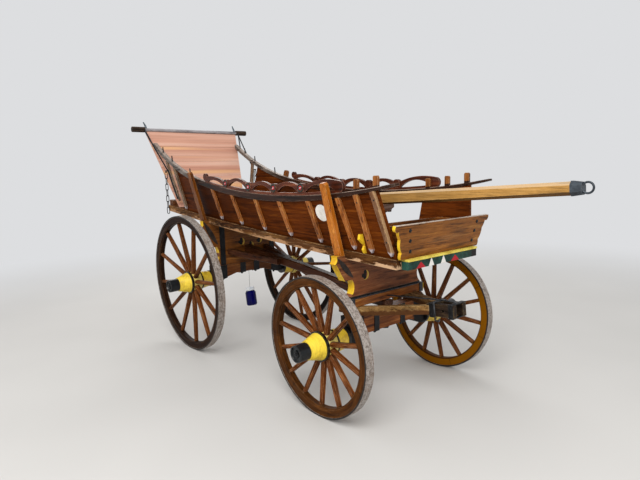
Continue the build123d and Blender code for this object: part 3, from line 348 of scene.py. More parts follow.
def wheel_wood(name, centre, axis, first_joint, felloe_from, felloe_count, felloe_tones, back_paint):
    material, tree, shader = blank(name, 0.42, 0.0, 0.04)
    place, along, reach, angle = wheel_places(tree, centre, axis)
    spoke_at = drawn_out((reach, 2.2), (angle, 8.0), (along, 26.0))
    felloe_at = drawn_out((reach, 24.0), (angle, 1.3), (along, 24.0))
    # The spokes' pale rubbed edges are wear and also a painted highlight, standing in for light caught along
    # their facets.
    spoke, rise = wood_look(spoke_at, place, ("3a1c0a", "6a3816", "9c6234"), "e0b48c", 0.45)
    felloe, swell = wood_look(felloe_at, place, felloe_tones, "b59370", 0.22)
    back = maths("LESS_THAN", facing(tree, axis), -0.85)
    # The felloes' inner faces: ochre paint on the front wheels, painted shade on the rear wheels.
    stain = mix(0.5, back_paint, ramp(swell, (0.6, 0.55), (1.1, 1.0)), "MULTIPLY")
    felloe = mix(back, felloe, stain)
    turn = minus(angle, math.radians(first_joint))
    round_on = maths("FRACT", maths("MULTIPLY_ADD", turn, felloe_count / (2.0 * math.pi), 8.5))
    gap = maths("ABSOLUTE", minus(round_on, 0.5))
    joint_half = 0.0035
    felloe = mix(maths("LESS_THAN", gap, joint_half), felloe, "160d08")
    outer = past(reach, felloe_from)
    shade = mix(outer, spoke, felloe)
    cover(shader, shade, mix(outer, rise, swell), 0.25, 0.002)
    return material


wheel_kinds = {
    "front": {"felloe_from": 0.418, "felloe_count": 7,
              "felloe_tones": ("2e1808", "4e2c0f", "70441c"), "back_paint": "845204"},
    # The rear felloes' near-black inner faces are painted shade.
    "rear": {"felloe_from": 0.582, "felloe_count": 6,
             "felloe_tones": ("160b06", "28160e", "3e2818"), "back_paint": "150d09"},
}
first_joints = {"front_left": -32.36, "front_right": 27.06, "rear_left": -22.0, "rear_right": 22.0}
for corner in corners:
    hinge = hinges[corner + "_wheel_spin"]
    centre, axis = tuple(hinge["pos_m"]), tuple(hinge["axis"])
    kind = wheel_kinds[corner.split("_")[0]]
    finish = wheel_wood(corner + "_wheel_varnish", centre, axis, first_joints[corner], **kind)
    dress(finish, corner + "_spokes_and_felloes")


# Hubs. Turned from elm and bored for the axle arm. They are painted yellow between black iron bands, with
# a black iron cap whose end is let in, where the linch nut sits.
def hub_paint(name, centre, axis):
    material, tree, shader = blank(name, 0.30, 0.12, 0.35)
    place, along, reach, angle = wheel_places(tree, centre, axis)
    inner_end, outer_end = -0.30, 0.20
    spot = between(along, inner_end, outer_end)
    zones = [
        (-0.300, "121315"), (-0.232, "eecb3e"), (-0.135, "101113"), (-0.121, "f2dc78"),
        (-0.0235, "101113"), (-0.0025, "fbdc46"), (0.1025, "161b1f"),
    ]
    zones = [((at - inner_end) / (outer_end - inner_end), shade) for at, shade in zones]
    paint = ramp(spot, *zones, steps=True)
    turned_at = drawn_out((along, 150.0), (angle, 1.0), (reach, 1.0))
    lines = ramp(noise(turned_at, 1.0, 3.0), (0.36, 0.80), (0.55, 1.0))
    paint = mix(0.7, paint, lines, "MULTIPLY")
    grime = ramp(noise(place, 14.0, 6.0, 0.7), (0.34, "a08040"), (0.52, "ffffff"))
    paint = mix(0.5, paint, grime, "MULTIPLY")
    chips = rubbed(0.003, 0.8, noise(place, 70.0), (0.48, 0.0), (0.56, 0.7))
    shade = mix(chips, paint, "6f6253")
    cover(shader, shade, lines, 0.2, 0.002)
    return material


def plain_iron(name, dark, bare, gloss, worn):
    """Forged iron, blacked, with the scale showing and the edges rubbed to bare metal."""
    material, tree, shader = blank(name, gloss, 0.0, 0.5)
    place = here(tree)
    scale = noise(place, 24.0, 6.0, 0.65)
    hammered = noise(place, 90.0, 5.0, 0.7)
    shade = ramp(scale, (0.35, dark), (0.68, bare))
    edges = rubbed(0.003, 0.78, hammered, (0.40, 0.0), (0.60, worn))
    shader["Metallic"].default_value = 0.55
    cover(shader, mix(edges, shade, "8a8c90"), hammered, 0.3, 0.002)
    return material


def step(tree, kind, values=None, **settings):
    """Adds a geometry node and gives its outputs."""
    return put(tree, kind if "Node" in kind else "GeometryNode" + kind, values, **settings).outputs


def pattern(name, **sizes):
    """An empty tree of geometry nodes with named sizes as its inputs."""
    tree = bpy.data.node_groups.new(name, "GeometryNodeTree")
    tree.interface.new_socket("Geometry", in_out="INPUT", socket_type="NodeSocketGeometry")
    tree.interface.new_socket("Geometry", in_out="OUTPUT", socket_type="NodeSocketGeometry")
    for label, value in sizes.items():
        tree.interface.new_socket(label, in_out="INPUT", socket_type="NodeSocketFloat").default_value = value
    return tree, tree.nodes.new("NodeGroupInput").outputs, tree.nodes.new("NodeGroupOutput").inputs


def make(name, tree, spots, body, slot, edges=(), **sizes):
    """Runs a tree over spots, each a place and a direction, and keeps the result as a plain piece."""
    cloud = bpy.data.meshes.new(name + "_spots")
    cloud.from_pydata([spot for spot, _ in spots], list(edges), [])
    ways = cloud.attributes.new("way", "FLOAT_VECTOR", "POINT")
    for mark, (_, way) in zip(ways.data, spots):
        mark.vector = way
    piece = bpy.data.objects.new(name, cloud)
    bpy.context.scene.collection.objects.link(piece)
    worker = piece.modifiers.new(name, "NODES")
    worker.node_group = tree
    for socket in tree.interface.items_tree:
        if socket.in_out == "INPUT" and socket.name in sizes:
            worker[socket.identifier] = sizes[socket.name]
    shape = bpy.data.meshes.new_from_object(piece.evaluated_get(bpy.context.evaluated_depsgraph_get()))
    shape.name = name
    piece.modifiers.clear()
    piece.data = shape
    bpy.data.meshes.remove(cloud)
    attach(piece, body)
    return piece


def joined(tree, *parts):
    whole = step(tree, "JoinGeometry")["Geometry"]
    for part in parts:
        tree.links.new(part, whole.node.inputs[0])
    return whole


def close(tree, result, shape, material=None, smooth=True):
    """Makes a tree's copies real, gives them their material and ends the tree."""
    shape = step(tree, "RealizeInstances", {"Geometry": shape})["Geometry"]
    if smooth:
        shape = step(tree, "SetShadeSmooth", {"Geometry": shape})["Geometry"]
    if material is not None:
        shape = step(tree, "SetMaterial", {"Geometry": shape, "Material": material})["Geometry"]
    tree.links.new(shape, result["Geometry"])


def lay(tree, sizes, result, shape, material=None, smooth=True, axis="Z", twist=None):
    """Puts a shape on every spot, with one of its axes along the spot's way."""
    way = step(tree, "InputNamedAttribute", {"Name": "way"}, data_type="FLOAT_VECTOR")["Attribute"]
    aim = step(tree, "FunctionNodeAlignRotationToVector", {"Vector": way}, axis=axis)["Rotation"]
    if twist is not None:
        turns = {"Rotation": aim, "Rotate By": twist}
        aim = step(tree, "FunctionNodeRotateRotation", turns, rotation_space="LOCAL")["Rotation"]
    placed = {"Points": sizes["Geometry"], "Instance": shape, "Rotation": aim}
    close(tree, result, step(tree, "InstanceOnPoints", placed)["Instances"], material, smooth)


black_iron = plain_iron("black_iron", "0c0d0f", "24262a", 0.45, 0.6)
nut_tree, sizes, result = pattern("square_nuts", Across=0.02, Thick=0.01)
half = times(sizes["Across"], 0.7071)
nut = {"Vertices": 4, "Radius Top": half, "Radius Bottom": half, "Depth": sizes["Thick"]}
thread = times(sizes["Across"], 0.30)
end = {
    "Vertices": 14, "Radius Top": times(thread, 0.85), "Radius Bottom": thread,
    "Depth": times(sizes["Thick"], 1.45),
}
turned = joined(nut_tree, step(nut_tree, "MeshCone", nut)["Mesh"], step(nut_tree, "MeshCone", end)["Mesh"])
lay(nut_tree, sizes, result, turned, black_iron, smooth=False)

recess_floor = 0.181
for corner in corners:
    hinge = hinges[corner + "_wheel_spin"]
    centre, axis = Vector(hinge["pos_m"]), Vector(hinge["axis"])
    dress(hub_paint(corner + "_hub_paint", tuple(centre), tuple(axis)), corner + "_hub")
    seat = [(centre + axis * recess_floor, axis)]
    make(corner + "_linch_nut", nut_tree, seat, corner + "_wheel", "black_iron", Across=0.044, Thick=0.014)


# Axles. Squared ash beams over the iron arms, varnished red-brown in the middle and black towards the
# wheels, with flat straps bent round them and drawn up by square nuts.
def grain(tree, stretch, turn=(0.0, 0.0, 0.0)):
    """The place on a piece, and the same place drawn out along the grain."""
    place = here(tree)
    return place, put(tree, "Mapping", {"Vector": place, "Rotation": turn, "Scale": stretch}).outputs[0]


def off_middle(place):
    """How far a place is from the wagon's middle plane."""
    return maths("ABSOLUTE", spread(place)["Y"])


crosswise = (16.0, 1.1, 16.0)


def axle_varnish(name, black_from, tones):
    material, tree, shader = blank(name, 0.42, 0.08)
    place, along = grain(tree, crosswise)
    shade, height = wood_look(along, place, tones, "b08c68", 0.30)
    outer = frayed(off_middle(place), 0.03, place, 30.0)
    black = ramp(outer, (black_from, 0.0), (black_from + 0.02, 1.0))
    shade = mix(black, shade, "100f10")
    cover(shader, shade, height)
    return material


dress(axle_varnish("front_axle_varnish", 0.290, ("46200c", "8a4c20", "b27038")), "front_axle")
dress(axle_varnish("rear_axle_varnish", 0.345, ("3a1c0c", "6c3c1a", "92602e")), "rear_axle")
dress(black_iron, "front_axle_straps", "rear_axle_straps", "rear_bolster_braces", "king_pin")


def meet(name, start, way):
    """The place where a line first meets a CAD piece and the direction that it faces there, if they meet."""
    mesh = nodes[name].data
    skin = BVHTree.FromPolygons([v.co for v in mesh.vertices], [p.vertices for p in mesh.polygons])
    spot, face = skin.ray_cast(Vector(start), Vector(way))[:2]
    return [] if spot is None else [(spot, face)]


wheelbase = 1.967
rear_x = axle_x - wheelbase
strap_half, below = 0.03, 0.2
for end, middle, strap_places, body in (
    ("front", axle_x, (-0.15, 0.15), "front_carriage"),
    ("rear", rear_x, (-0.321, -0.085, 0.085, 0.321), "wagon"),
):
    starts = [(middle + dx, y, below) for y in strap_places for dx in (-strap_half, strap_half)]
    hits = [hit for start in starts for hit in meet(end + "_axle_straps", start, (0, 0, 1))]
    make(end + "_strap_nuts", nut_tree, hits, body, "black_iron", Across=0.022, Thick=0.012)


# Reach and rear hounds. The reach is the long ash pole that ties the two axles together, and the hounds
# brace it to the rear axle. Both are varnished a dark red-brown.
def timber(name, tones, pale, wear, stretch, gloss, coat=0.0, splits=0.0):
    """Wood whose grain runs along the axis with the small stretch."""
    material, tree, shader = blank(name, gloss, coat)
    place, along = grain(tree, stretch)
    shade, height = wood_look(along, place, tones, pale, wear, splits=splits)
    cover(shader, shade, height)
    return material


lengthwise, upright = (1.1, 16.0, 16.0), (16.0, 16.0, 1.1)
gear_tones = ("28120a", "4a2614", "6e4428")
reach_varnish = timber("reach_varnish", gear_tones, "a98a6a", 0.25, lengthwise, gloss=0.4, coat=0.08)
dress(reach_varnish, "reach", "rear_hounds")


# Bolsters. Thick oak boards on edge over the axles, with their ends sawn into scrolls. The faces are
# varnished and carry small painted trefoils, and the sawn ends are painted yellow.
def dot(place, centre, radius):
    """1 within a radius of a point on a face that is square to X, 0 elsewhere, with a brushed edge."""
    tree, off = place.id_data, line_from(centre, place)
    flat = put(tree, "VectorMath", {0: off, 1: (0.0, 1.0, 1.0)}, operation="MULTIPLY").outputs[0]
    out = put(tree, "VectorMath", {0: flat}, operation="LENGTH").outputs["Value"]
    soft = 0.0012
    return between(out, radius - soft, radius + soft, 1.0, 0.0)


def yellow_paint(place, base="f0c72e", shadow="cf9a20"):
    """Old yellow oil paint, dirty in the hollows and chipped to the wood on its edges."""
    dirt = ramp(noise(place, 9.0, 6.0, 0.65), (0.36, 0.0), (0.56, 1.0))
    shade = mix(dirt, shadow, base)
    ragged = noise(place, 60.0, 5.0, 0.75)
    chips = rubbed(0.003, 0.82, ragged, (0.50, 0.0), (0.58, 0.7))
    return mix(chips, shade, "5a3d1e")


def bolster_varnish(name, face_x, trefoils, specks, tones):
    gold, black, cream = "d9b24a", "0e0b0a", "e4e0d6"
    material, tree, shader = blank(name, 0.38, 0.1)
    place, along = grain(tree, (13.0, 1.0, 13.0))
    shade, height = wood_look(along, place, tones, "a98c68", 0.2, rings=8.0)
    for y, z, size in trefoils:
        moon = dot(place, (face_x, y + size * 0.14, z), size)
        bite = dot(place, (face_x, y - size * 0.30, z + size * 0.12), size * 1.02)
        moon = times(moon, minus(1.0, bite))
        shade = mix(moon, shade, gold)
        for dy, dz in ((0.10, 0.62), (-0.50, -0.10), (-0.02, -0.50), (-0.05, 0.05)):
            leaf = dot(place, (face_x, y + dy * size, z + dz * size), size * 0.42)
            shade = mix(leaf, shade, black)
    for y, z, size in specks:
        for dy, dz, share, paint in ((0, 0, 1, gold), (-0.08, 0, 0.80, black), (0, 0.1, 0.30, cream)):
            spot = dot(place, (face_x, y + size * dy, z + size * dz), size * share)
            shade = mix(spot, shade, paint)
    side_on = maths("LESS_THAN", maths("ABSOLUTE", facing(tree, (1.0, 0.0, 0.0))), 0.6)
    outer = off_middle(place)
    low = maths("LESS_THAN", facing(tree, (0.0, 0.0, 1.0)), 0.6)
    neck, ear = 0.345, 0.498
    ends = times(past(outer, neck), low)
    ends = maths("MAXIMUM", ends, past(outer, ear))
    ends = times(ends, side_on)
    shade = mix(ends, shade, yellow_paint(place))
    cover(shader, shade, height, 0.25, 0.003)
    return material


half_thick = 0.032
for end, middle, trefoils, specks, tones in (
    ("front", axle_x, [(-0.247, 0.944, 0.036)], [], ("522c16", "885030", "a87048")),
    ("rear", rear_x, [(-0.080, 1.010, 0.038), (0.142, 1.006, 0.034), (0.032, 0.962, 0.036)],
     [(-0.089, 1.115, 0.016), (0.028, 1.070, 0.014)], ("48260e", "865020", "a87034")),
):
    finish = bolster_varnish(end + "_bolster_varnish", middle + half_thick, trefoils, specks, tones)
    dress(finish, end + "_bolster")
dress(plain_iron("strap_iron", "201a17", "453932", 0.5, 0.5), "bolster_irons")

# Sand board. An ash beam on top of the front axle, which the front bolster turns on, with an iron wearing
# plate between the two. Its ends are painted yellow.
material, tree, shader = blank("sand_board_varnish", 0.42, 0.08)
place, along = grain(tree, crosswise)
shade, height = wood_look(along, place, ("4a240c", "8a4e20", "b87c3e"), "b08c68", 0.3)
painted_from = 0.392
ends = past(off_middle(place), painted_from)
shade = mix(ends, shade, yellow_paint(place))
cover(shader, shade, height)
dress(material, "sand_board")
dress(plain_iron("plate_iron", "22262b", "4a5058", 0.42, 0.8), "sand_board_plate")


# Tongs and pole block. Two split ash arms run forward from the axle to a block that takes the draught
# pole. Both are bare and weathered, and the block is black with grease between its two iron bands.
def side_view(place):
    """How far a place is in front of the front axle, and how high."""
    x, _, z = spread(place)
    return minus(x, axle_x), z


tong_tones = ("4e3418", "8e6a3e", "ba9660")
material, tree, shader = blank("tong_wood", 0.6, 0.0, 0.08)
place, along = grain(tree, lengthwise)
shade, height = wood_look(along, place, tong_tones, "d2b88c", 0.5, splits=0.2)
station, z = side_view(place)
# The lower part of each tong is darker brown, below a ragged line that follows its slope.
tong_height, tong_slope = 0.650, 0.095
rise = maths("MULTIPLY_ADD", station, -tong_slope, minus(z, tong_height))
rise = frayed(rise, 0.06, place, 22.0, 5.0, 0.7)
darker_below = ramp(rise, (0.056, 0.9), (0.068, 0.0))
shade = mix(darker_below, shade, "4c2c16")
cover(shader, shade, height, 0.4, 0.003)
dress(material, "tongs")
block_tones = ("100c0a", "2c2018", "54402a")
dress(timber("block_wood", block_tones, "a08a64", 0.5, lengthwise, gloss=0.5, splits=0.8), "pole_block")
dress(black_iron, "pole_block_bands")

head_tree, sizes, result = pattern("round_heads", Radius=0.008, Proud=0.004)
ball = step(head_tree, "MeshUVSphere", {"Segments": 12, "Rings": 8, "Radius": sizes["Radius"]})["Mesh"]
squash = maths("DIVIDE", sizes["Proud"], sizes["Radius"])
scale = put(head_tree, "CombineXYZ", {"X": 1.0, "Y": 1.0, "Z": squash}).outputs[0]
head = step(head_tree, "Transform", {"Geometry": ball, "Scale": scale})["Geometry"]
lay(head_tree, sizes, result, head, black_iron)

band_low, band_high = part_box("pole_block_bands")
half_wide, half_high = 0.021, 0.051
rivets = []
for x, middle in (
    (band_low.x + half_wide, band_low.z + half_high), (band_high.x - half_wide, band_high.z - half_high),
):
    for rise in (-0.028, 0.028):
        for y, way in ((-0.3, 1), (0.3, -1)):
            rivets += meet("pole_block_bands", (x, y, middle + rise), (0, way, 0))
make("band_rivets", head_tree, rivets, "front_carriage", "black_iron", Radius=0.007, Proud=0.004)

# Draw rod and hasp. A round iron rod runs forward over the tongs to the block, and a hasp hangs on the
# block's right side by its eye. Both are forged from bar and bent hot.
rubbed_iron = plain_iron("rubbed_iron", "26282b", "5c6066", 0.4, 1.0)
rod_tree, sizes, result = pattern("bent_rods", Thick=0.012, Bend=0.008, Taper=0.0)
path = step(rod_tree, "MeshToCurve", {0: sizes["Geometry"]})["Curve"]
rounding = {"Curve": path, "Count": 5, "Radius": sizes["Bend"]}
path = step(rod_tree, "FilletCurve", rounding, mode="POLY")["Curve"]
half = times(sizes["Thick"], 0.5)
section = step(rod_tree, "CurvePrimitiveCircle", {"Resolution": 10, "Radius": half})["Curve"]
loss = times(step(rod_tree, "SplineParameter")["Factor"], sizes["Taper"])
left = minus(1.0, loss)
bar = {"Curve": path, "Profile Curve": section, "Scale": left, "Fill Caps": True}
close(rod_tree, result, step(rod_tree, "CurveToMesh", bar)["Mesh"], rubbed_iron)


def bent_rods(name, bars, body, **sizes):
    spots, edges = [], []
    for points in bars:
        edges += [(len(spots) + number, len(spots) + number + 1) for number in range(len(points) - 1)]
        spots += [((axle_x + x, y, z), (0.0, 0.0, 1.0)) for x, y, z in points]
    return make(name, rod_tree, spots, body, "black_iron", edges, **sizes)


rod_points = [(0.046, 0.752), (0.30, 0.779), (0.52, 0.799), (0.655, 0.806), (0.655, 0.770)]
rod_y, hasp_y = -0.02, -0.091
rod_line = [(x, rod_y, z) for x, z in rod_points]
bent_rods("draw_rod", [rod_line], "front_carriage", Thick=0.010, Bend=0.010)
hasp_points = [(0.530, 0.795), (0.541, 0.705), (0.543, 0.672), (0.575, 0.668), (0.578, 0.690)]
hasp_line = [(0.530, -0.055, 0.795)] + [(x, hasp_y, z) for x, z in hasp_points]
bent_rods("hasp", [hasp_line], "front_carriage", Thick=0.011, Bend=0.009)

# Floor boards, floor bearers, rear cross beam and bottom rails. Sawn softwood, once varnished. The rails
# have gone brown-grey and split along the grain, with broken pale edges towards the weather.
rail_tones = ("2a160c", "5c381c", "8e6436")
material, tree, shader = blank("bottom_rail_wood", 0.6, 0.0, 0.06)
place, along = grain(tree, lengthwise, (0.0, 0.06, 0.0))
shade, height = wood_look(along, place, rail_tones, "cda87c", 0.75, splits=0.8)
station, z = side_view(place)
rail_height, rail_slope, rail_bend = 1.089, -0.05376, 0.01024
curve = times(station, maths("MULTIPLY_ADD", station, rail_bend, rail_slope))
rise = minus(minus(z, curve), rail_height)
_, strips = grain(tree, (7.0, 30.0, 30.0))
torn = noise(strips, 1.0, 5.0, 0.7)
torn = maths("MULTIPLY_ADD", rise, -4.5, torn)
bare = ramp(torn, (0.40, 0.0), (0.48, 0.75))
shade = mix(bare, shade, "bb906a")
worn_front = maths("MULTIPLY_ADD", station, 0.30, torn)
shade = mix(ramp(worn_front, (0.50, 0.0), (0.56, 0.8)), shade, "d0ac88")
gaps = ramp(noise(along, 1.5, 5.0, 0.7), (0.36, 0.85), (0.43, 0.0))
shade = mix(gaps, shade, "1c0f08")
cover(shader, shade, minus(height, gaps), 0.5, 0.004)
dress(material, "bottom_rail_left", "bottom_rail_right")
floor_tones = ("2c1a10", "5a3a24", "7e5a3c")
floor_wood = timber("floor_wood", floor_tones, "a89478", 0.4, lengthwise, gloss=0.65, splits=0.6)
dress(floor_wood, "floor_boards")
bearer_tones = ("301a10", "63391f", "8a5a38")
bearer_wood = timber("bearer_wood", bearer_tones, "b49a78", 0.45, crosswise, gloss=0.6, splits=0.5)
dress(bearer_wood, "floor_bearers", "rear_cross_beam")

# Side panels. Broad sawn boards, nailed inside the ribs and varnished a warm brown. Painted shade darkens
# them most over the rear wheels and fades out towards the front.
material, tree, shader = blank("panel_varnish", 0.42, 0.0, 0.02)
place, along = grain(tree, (1.0, 13.0, 13.0), (0.0, 0.05, 0.0))
shade, height = wood_look(along, place, ("421c07", "632e0b", "834513"), "b98a58", 0.05, rings=6.0)
dark_from, dark_to = axle_x - 2.4, axle_x - 0.4
back = between(spread(place)["X"], dark_from, dark_to)
# Painted shade: darkest over the rear wheels, none towards the front.
painted_shade_over_rear_wheels = ramp(back, (0.0, 0.15), (0.17, 0.2), (0.22, 0.75), (0.40, 0.5), (1.0, 0.0))
shade = mix(painted_shade_over_rear_wheels, shade, "240d04")
cover(shader, shade, height, 0.2, 0.002)
dress(material, "side_panel_left", "side_panel_right")


# Ribs. Shaved ash laths nailed to the outside of the panels. Their lower ends are cut to a point and keep
# a pale lilac undercoat, and the foremost and rearmost are weathered bare and split.
def rib_varnish(name):
    material, tree, shader = blank(name, 0.42, 0.06)
    place, along = grain(tree, upright)
    shade, height = wood_look(along, place, ("5c2e10", "a6622c", "c88c4c"), "dcb890", 0.3)
    bare, _ = wood_look(along, place, ("3e2c1e", "7c6048", "ac9074"), "d8ccbc", 0.8, splits=0.9)
    station, z = side_view(place)
    last, foremost = -2.36, 0.37
    ends = maths("MAXIMUM", maths("LESS_THAN", station, last), past(station, foremost))
    front = past(station, 0.0)
    bare = mix(front, bare, mix(0.55, bare, "6e4020"))
    shade = mix(ends, shade, bare)
    edge_at, lean = 0.639, 0.1596
    ahead = maths("MULTIPLY_ADD", z, lean, minus(station, edge_at))
    ahead = frayed(ahead, 0.05, place, 28.0, 5.0, 0.7)
    rib_back = 0.35
    broken = times(past(station, rib_back), ramp(ahead, (0.034, 0.0), (0.042, 0.85)))
    shade = mix(broken, shade, "b8946c")
    first_foot, middle_foot = 0.498, -1.1
    foot_height, slope, bend = 1.145, -0.05945, 0.010384
    from_first, from_middle = minus(station, first_foot), minus(station, middle_foot)
    foot = maths("MULTIPLY_ADD", times(from_first, from_middle), bend, foot_height)
    foot = maths("MULTIPLY_ADD", from_first, slope, foot)
    above = frayed(minus(z, foot), 0.03, place, 40.0)
    tip = ramp(above, (0.036, 1.0), (0.048, 0.0))
    shade = mix(tip, shade, "b6acb0")
    cover(shader, shade, height, 0.35, 0.003)
    return material


dress(rib_varnish("rib_varnish"), "ribs_left", "ribs_right")
rib_lines = [
    (-2.421, 1.359, -2.436, 1.799), (-1.664, 1.287, -1.652, 1.578), (-1.314, 1.257, -1.314, 1.527),
    (-0.950, 1.229, -0.941, 1.494), (-0.590, 1.204, -0.610, 1.485), (-0.225, 1.181, -0.252, 1.497),
    (0.123, 1.163, 0.066, 1.526), (0.286, 1.155, 0.240, 1.549), (0.456, 1.147, 0.388, 1.573),
]
nails = []
for foot_x, foot_z, top_x, top_z in rib_lines:
    for share in (0.22, 0.86):
        x = axle_x + foot_x + (top_x - foot_x) * share
        z = foot_z + (top_z - foot_z) * share
        for node, y, way in (("ribs_right", -1.0, 1.0), ("ribs_left", 1.0, -1.0)):
            nails += meet(node, (x, y, z), (0, way, 0))
make("rib_nails", head_tree, nails, "wagon", "black_iron", Radius=0.006, Proud=0.003)

# Top rails. Dark stained ash, bent over the ribs, with short posts on their inner side. The upper faces
# are pale grey in patches, as wear and as a painted highlight, and the stain has weathered away towards
# the tail.
material, tree, shader = blank("top_rail_stain", 0.42, 0.06)
place, along = grain(tree, lengthwise, (0.0, 0.10, 0.0))
shade, height = wood_look(along, place, ("140a06", "2f180e", "4e2e1c"), "a08a78", 0.35)
grey, _ = wood_look(along, place, ("3b3531", "6e655e", "98908a"), "bfb8b2", 0.6, splits=0.8)
_, up = grain(tree, upright)
post, _ = wood_look(up, place, ("522c10", "8a5022", "b67c40"), "dcbc92", 0.4)
station, z = side_view(place)
aft = frayed(station, 0.5, place, 8.0)
shade = mix(ramp(times(aft, -0.4), (0.66, 0.0), (0.80, 1.0)), shade, grey)
rail_top, rail_slope = 1.5555, 0.118
over = minus(z, maths("MULTIPLY_ADD", station, rail_slope, rail_top))
posts = times(past(over, 0.004), past(station, -0.02))
# The upward faces are lightened to pale grey in patches: wear, and a painted highlight along the top.
top_wear_and_highlight = past(facing(tree, (0.0, 0.0, 1.0)), 0.70)
top_wear_and_highlight = times(top_wear_and_highlight, ramp(noise(along, 1.4, 5.0, 0.7), (0.36, 0.0), (0.56, 0.75)))
shade = mix(top_wear_and_highlight, shade, "9f8c80")
shade = mix(posts, shade, post)
cover(shader, shade, height, 0.35, 0.003)
dress(material, "top_rail_left", "top_rail_right")

# Rail pins. Blacksmith's spikes with a slight taper, driven down through the rear part of each top rail to
# hold a load's cover or a raised side.
tree, sizes, result = pattern("rail_pins", Length=0.06, Thick=0.014)
half = times(sizes["Thick"], 0.5)
thin = times(sizes["Thick"], 0.36)
pin = {"Vertices": 10, "Radius Top": thin, "Radius Bottom": half, "Depth": sizes["Length"]}
lay(tree, sizes, result, step(tree, "MeshCone", pin)["Mesh"], black_iron, smooth=False)
sunk = Vector((0.0, 0.0, 0.004))
pins = []
for x in (-2.723, -2.512, -2.114):
    for side, y in (("left", 0.522), ("right", -0.522)):
        for spot, _ in meet("top_rail_" + side, (axle_x + x, y, 3.0), (0, 0, -1)):
            pins.append((spot - sunk, (-0.12, 0.0, 1.0)))
make("rail_pins", tree, pins, "wagon", "black_iron", Length=0.062, Thick=0.015)

# Crest. Sawn and pierced boards on top of the rails, painted a deep red-brown. Round every curve the
# paint is lighter: rubbed wear, and also a painted highlight on the carved edges.
crest_tones = ("240e08", "4e2212", "7a4024")
crest_paint = timber("crest_paint", crest_tones, "c0907a", 0.42, lengthwise, gloss=0.34, coat=0.1)
dress(crest_paint, "crest_left", "crest_right")


# Boss buttons. Turned wooden buttons glued on the crest's bosses: a dark olive ring round a red one, with
# a white dot in the middle.
def gloss_paint(name, base, shadow):
    material, tree, shader = blank(name, 0.28, 0.2, 0.35)
    place = here(tree)
    grime = ramp(noise(place, 70.0, 5.0, 0.7), (0.40, 0.0), (0.56, 1.0))
    shade = mix(grime, shadow, base)
    cover(shader, shade, noise(place, 160.0), 0.2, 0.001)
    return material


tree, sizes, result = pattern("boss_buttons", Radius=0.034, Proud=0.006)


def turned_ring(tree, across, bead, material, flat):
    """A ring turned on the button's face: a bead swept round a circle and pressed flat."""
    reach = times(sizes["Radius"], across)
    thick = times(sizes["Radius"], bead)
    path = step(tree, "CurvePrimitiveCircle", {"Resolution": 32, "Radius": reach})["Curve"]
    section = step(tree, "CurvePrimitiveCircle", {"Resolution": 8, "Radius": thick})["Curve"]
    bar = step(tree, "CurveToMesh", {"Curve": path, "Profile Curve": section})["Mesh"]
    bar = step(tree, "Transform", {"Geometry": bar, "Scale": (1.0, 1.0, flat)})["Geometry"]
    return step(tree, "SetMaterial", {"Geometry": bar, "Material": material})["Geometry"]


olive = gloss_paint("button_olive", "2b2a1a", "12110c")
red = gloss_paint("button_red", "c01826", "6a0c14")
white = gloss_paint("button_white", "f4eef0", "d8b8bc")
parts = [
    turned_ring(tree, 0.84, 0.15, olive, 0.8),
    turned_ring(tree, 0.60, 0.09, olive, 0.6),
    turned_ring(tree, 0.36, 0.13, red, 0.8),
    turned_ring(tree, 0.07, 0.08, white, 1.4),
]
lay(tree, sizes, result, joined(tree, *parts))
let_out = 0.001
buttons = []
for x, z in ((-1.390, 1.627), (-1.021, 1.597), (-0.658, 1.589), (-0.318, 1.591)):
    for node, y, way in (("crest_right", -1.0, 1.0), ("crest_left", 1.0, -1.0)):
        for spot, _ in meet(node, (axle_x + x, y, z), (0, way, 0)):
            buttons.append((spot + Vector((0, -way * let_out, 0)), (0, -way, 0)))
make("boss_buttons", tree, buttons, "wagon", "red_brown_paint")

# Stakes. Stout oak posts with a sawn chamfer, wedged into the bolsters' ends. They lean out with the body
# and hold it. The front ones are bright varnish, the rear ones darker.
bright, dark = ("8a4410", "c2701e", "e0943c"), ("4a240a", "7c4416", "a0662c")
front_stake = timber("front_stake_varnish", bright, "ecc690", 0.3, upright, gloss=0.3, coat=0.12)
dress(front_stake, "stakes_front")
rear_stake = timber("rear_stake_varnish", dark, "cdb089", 0.25, upright, gloss=0.36, coat=0.08)
dress(rear_stake, "stakes_rear")

# Tailboard. Five boards of red pine, bare and bleached, with pale yellow streaks where the sapwood shows,
# held on battens behind.
material, tree, shader = blank("tail_pine", 0.55)
place, along = grain(tree, (14.0, 0.35, 14.0))
bands = noise(along, 0.7, 3.0, 0.5)
shade = ramp(bands, (0.34, "c48d79"), (0.50, "d8a590"), (0.64, "e4b9a6"))
lines = noise(along, 4.0, 5.0, 0.65)
shade = mix(0.55, shade, ramp(lines, (0.38, 0.80), (0.52, 1.0)), "MULTIPLY")
_, layers = grain(tree, (0.3, 0.25, 9.0))
sap = noise(layers, 1.0, 3.0)
shade = mix(ramp(sap, (0.54, 0.0), (0.64, 0.65)), shade, "f0bc84")
board_high, lowest_seam = 0.17, 1.369
z = spread(place)["Z"]
seam = maths("MULTIPLY_ADD", z, 1.0 / board_high, 10.0 - lowest_seam / board_high)
seam = maths("FRACT", seam)
shade = mix(ramp(seam, (0.0, 0.55), (0.018, 0.55), (0.035, 0.0)), shade, "8a5a44")
cover(shader, shade, lines, 0.15, 0.002)
dress(material, "tailboard")

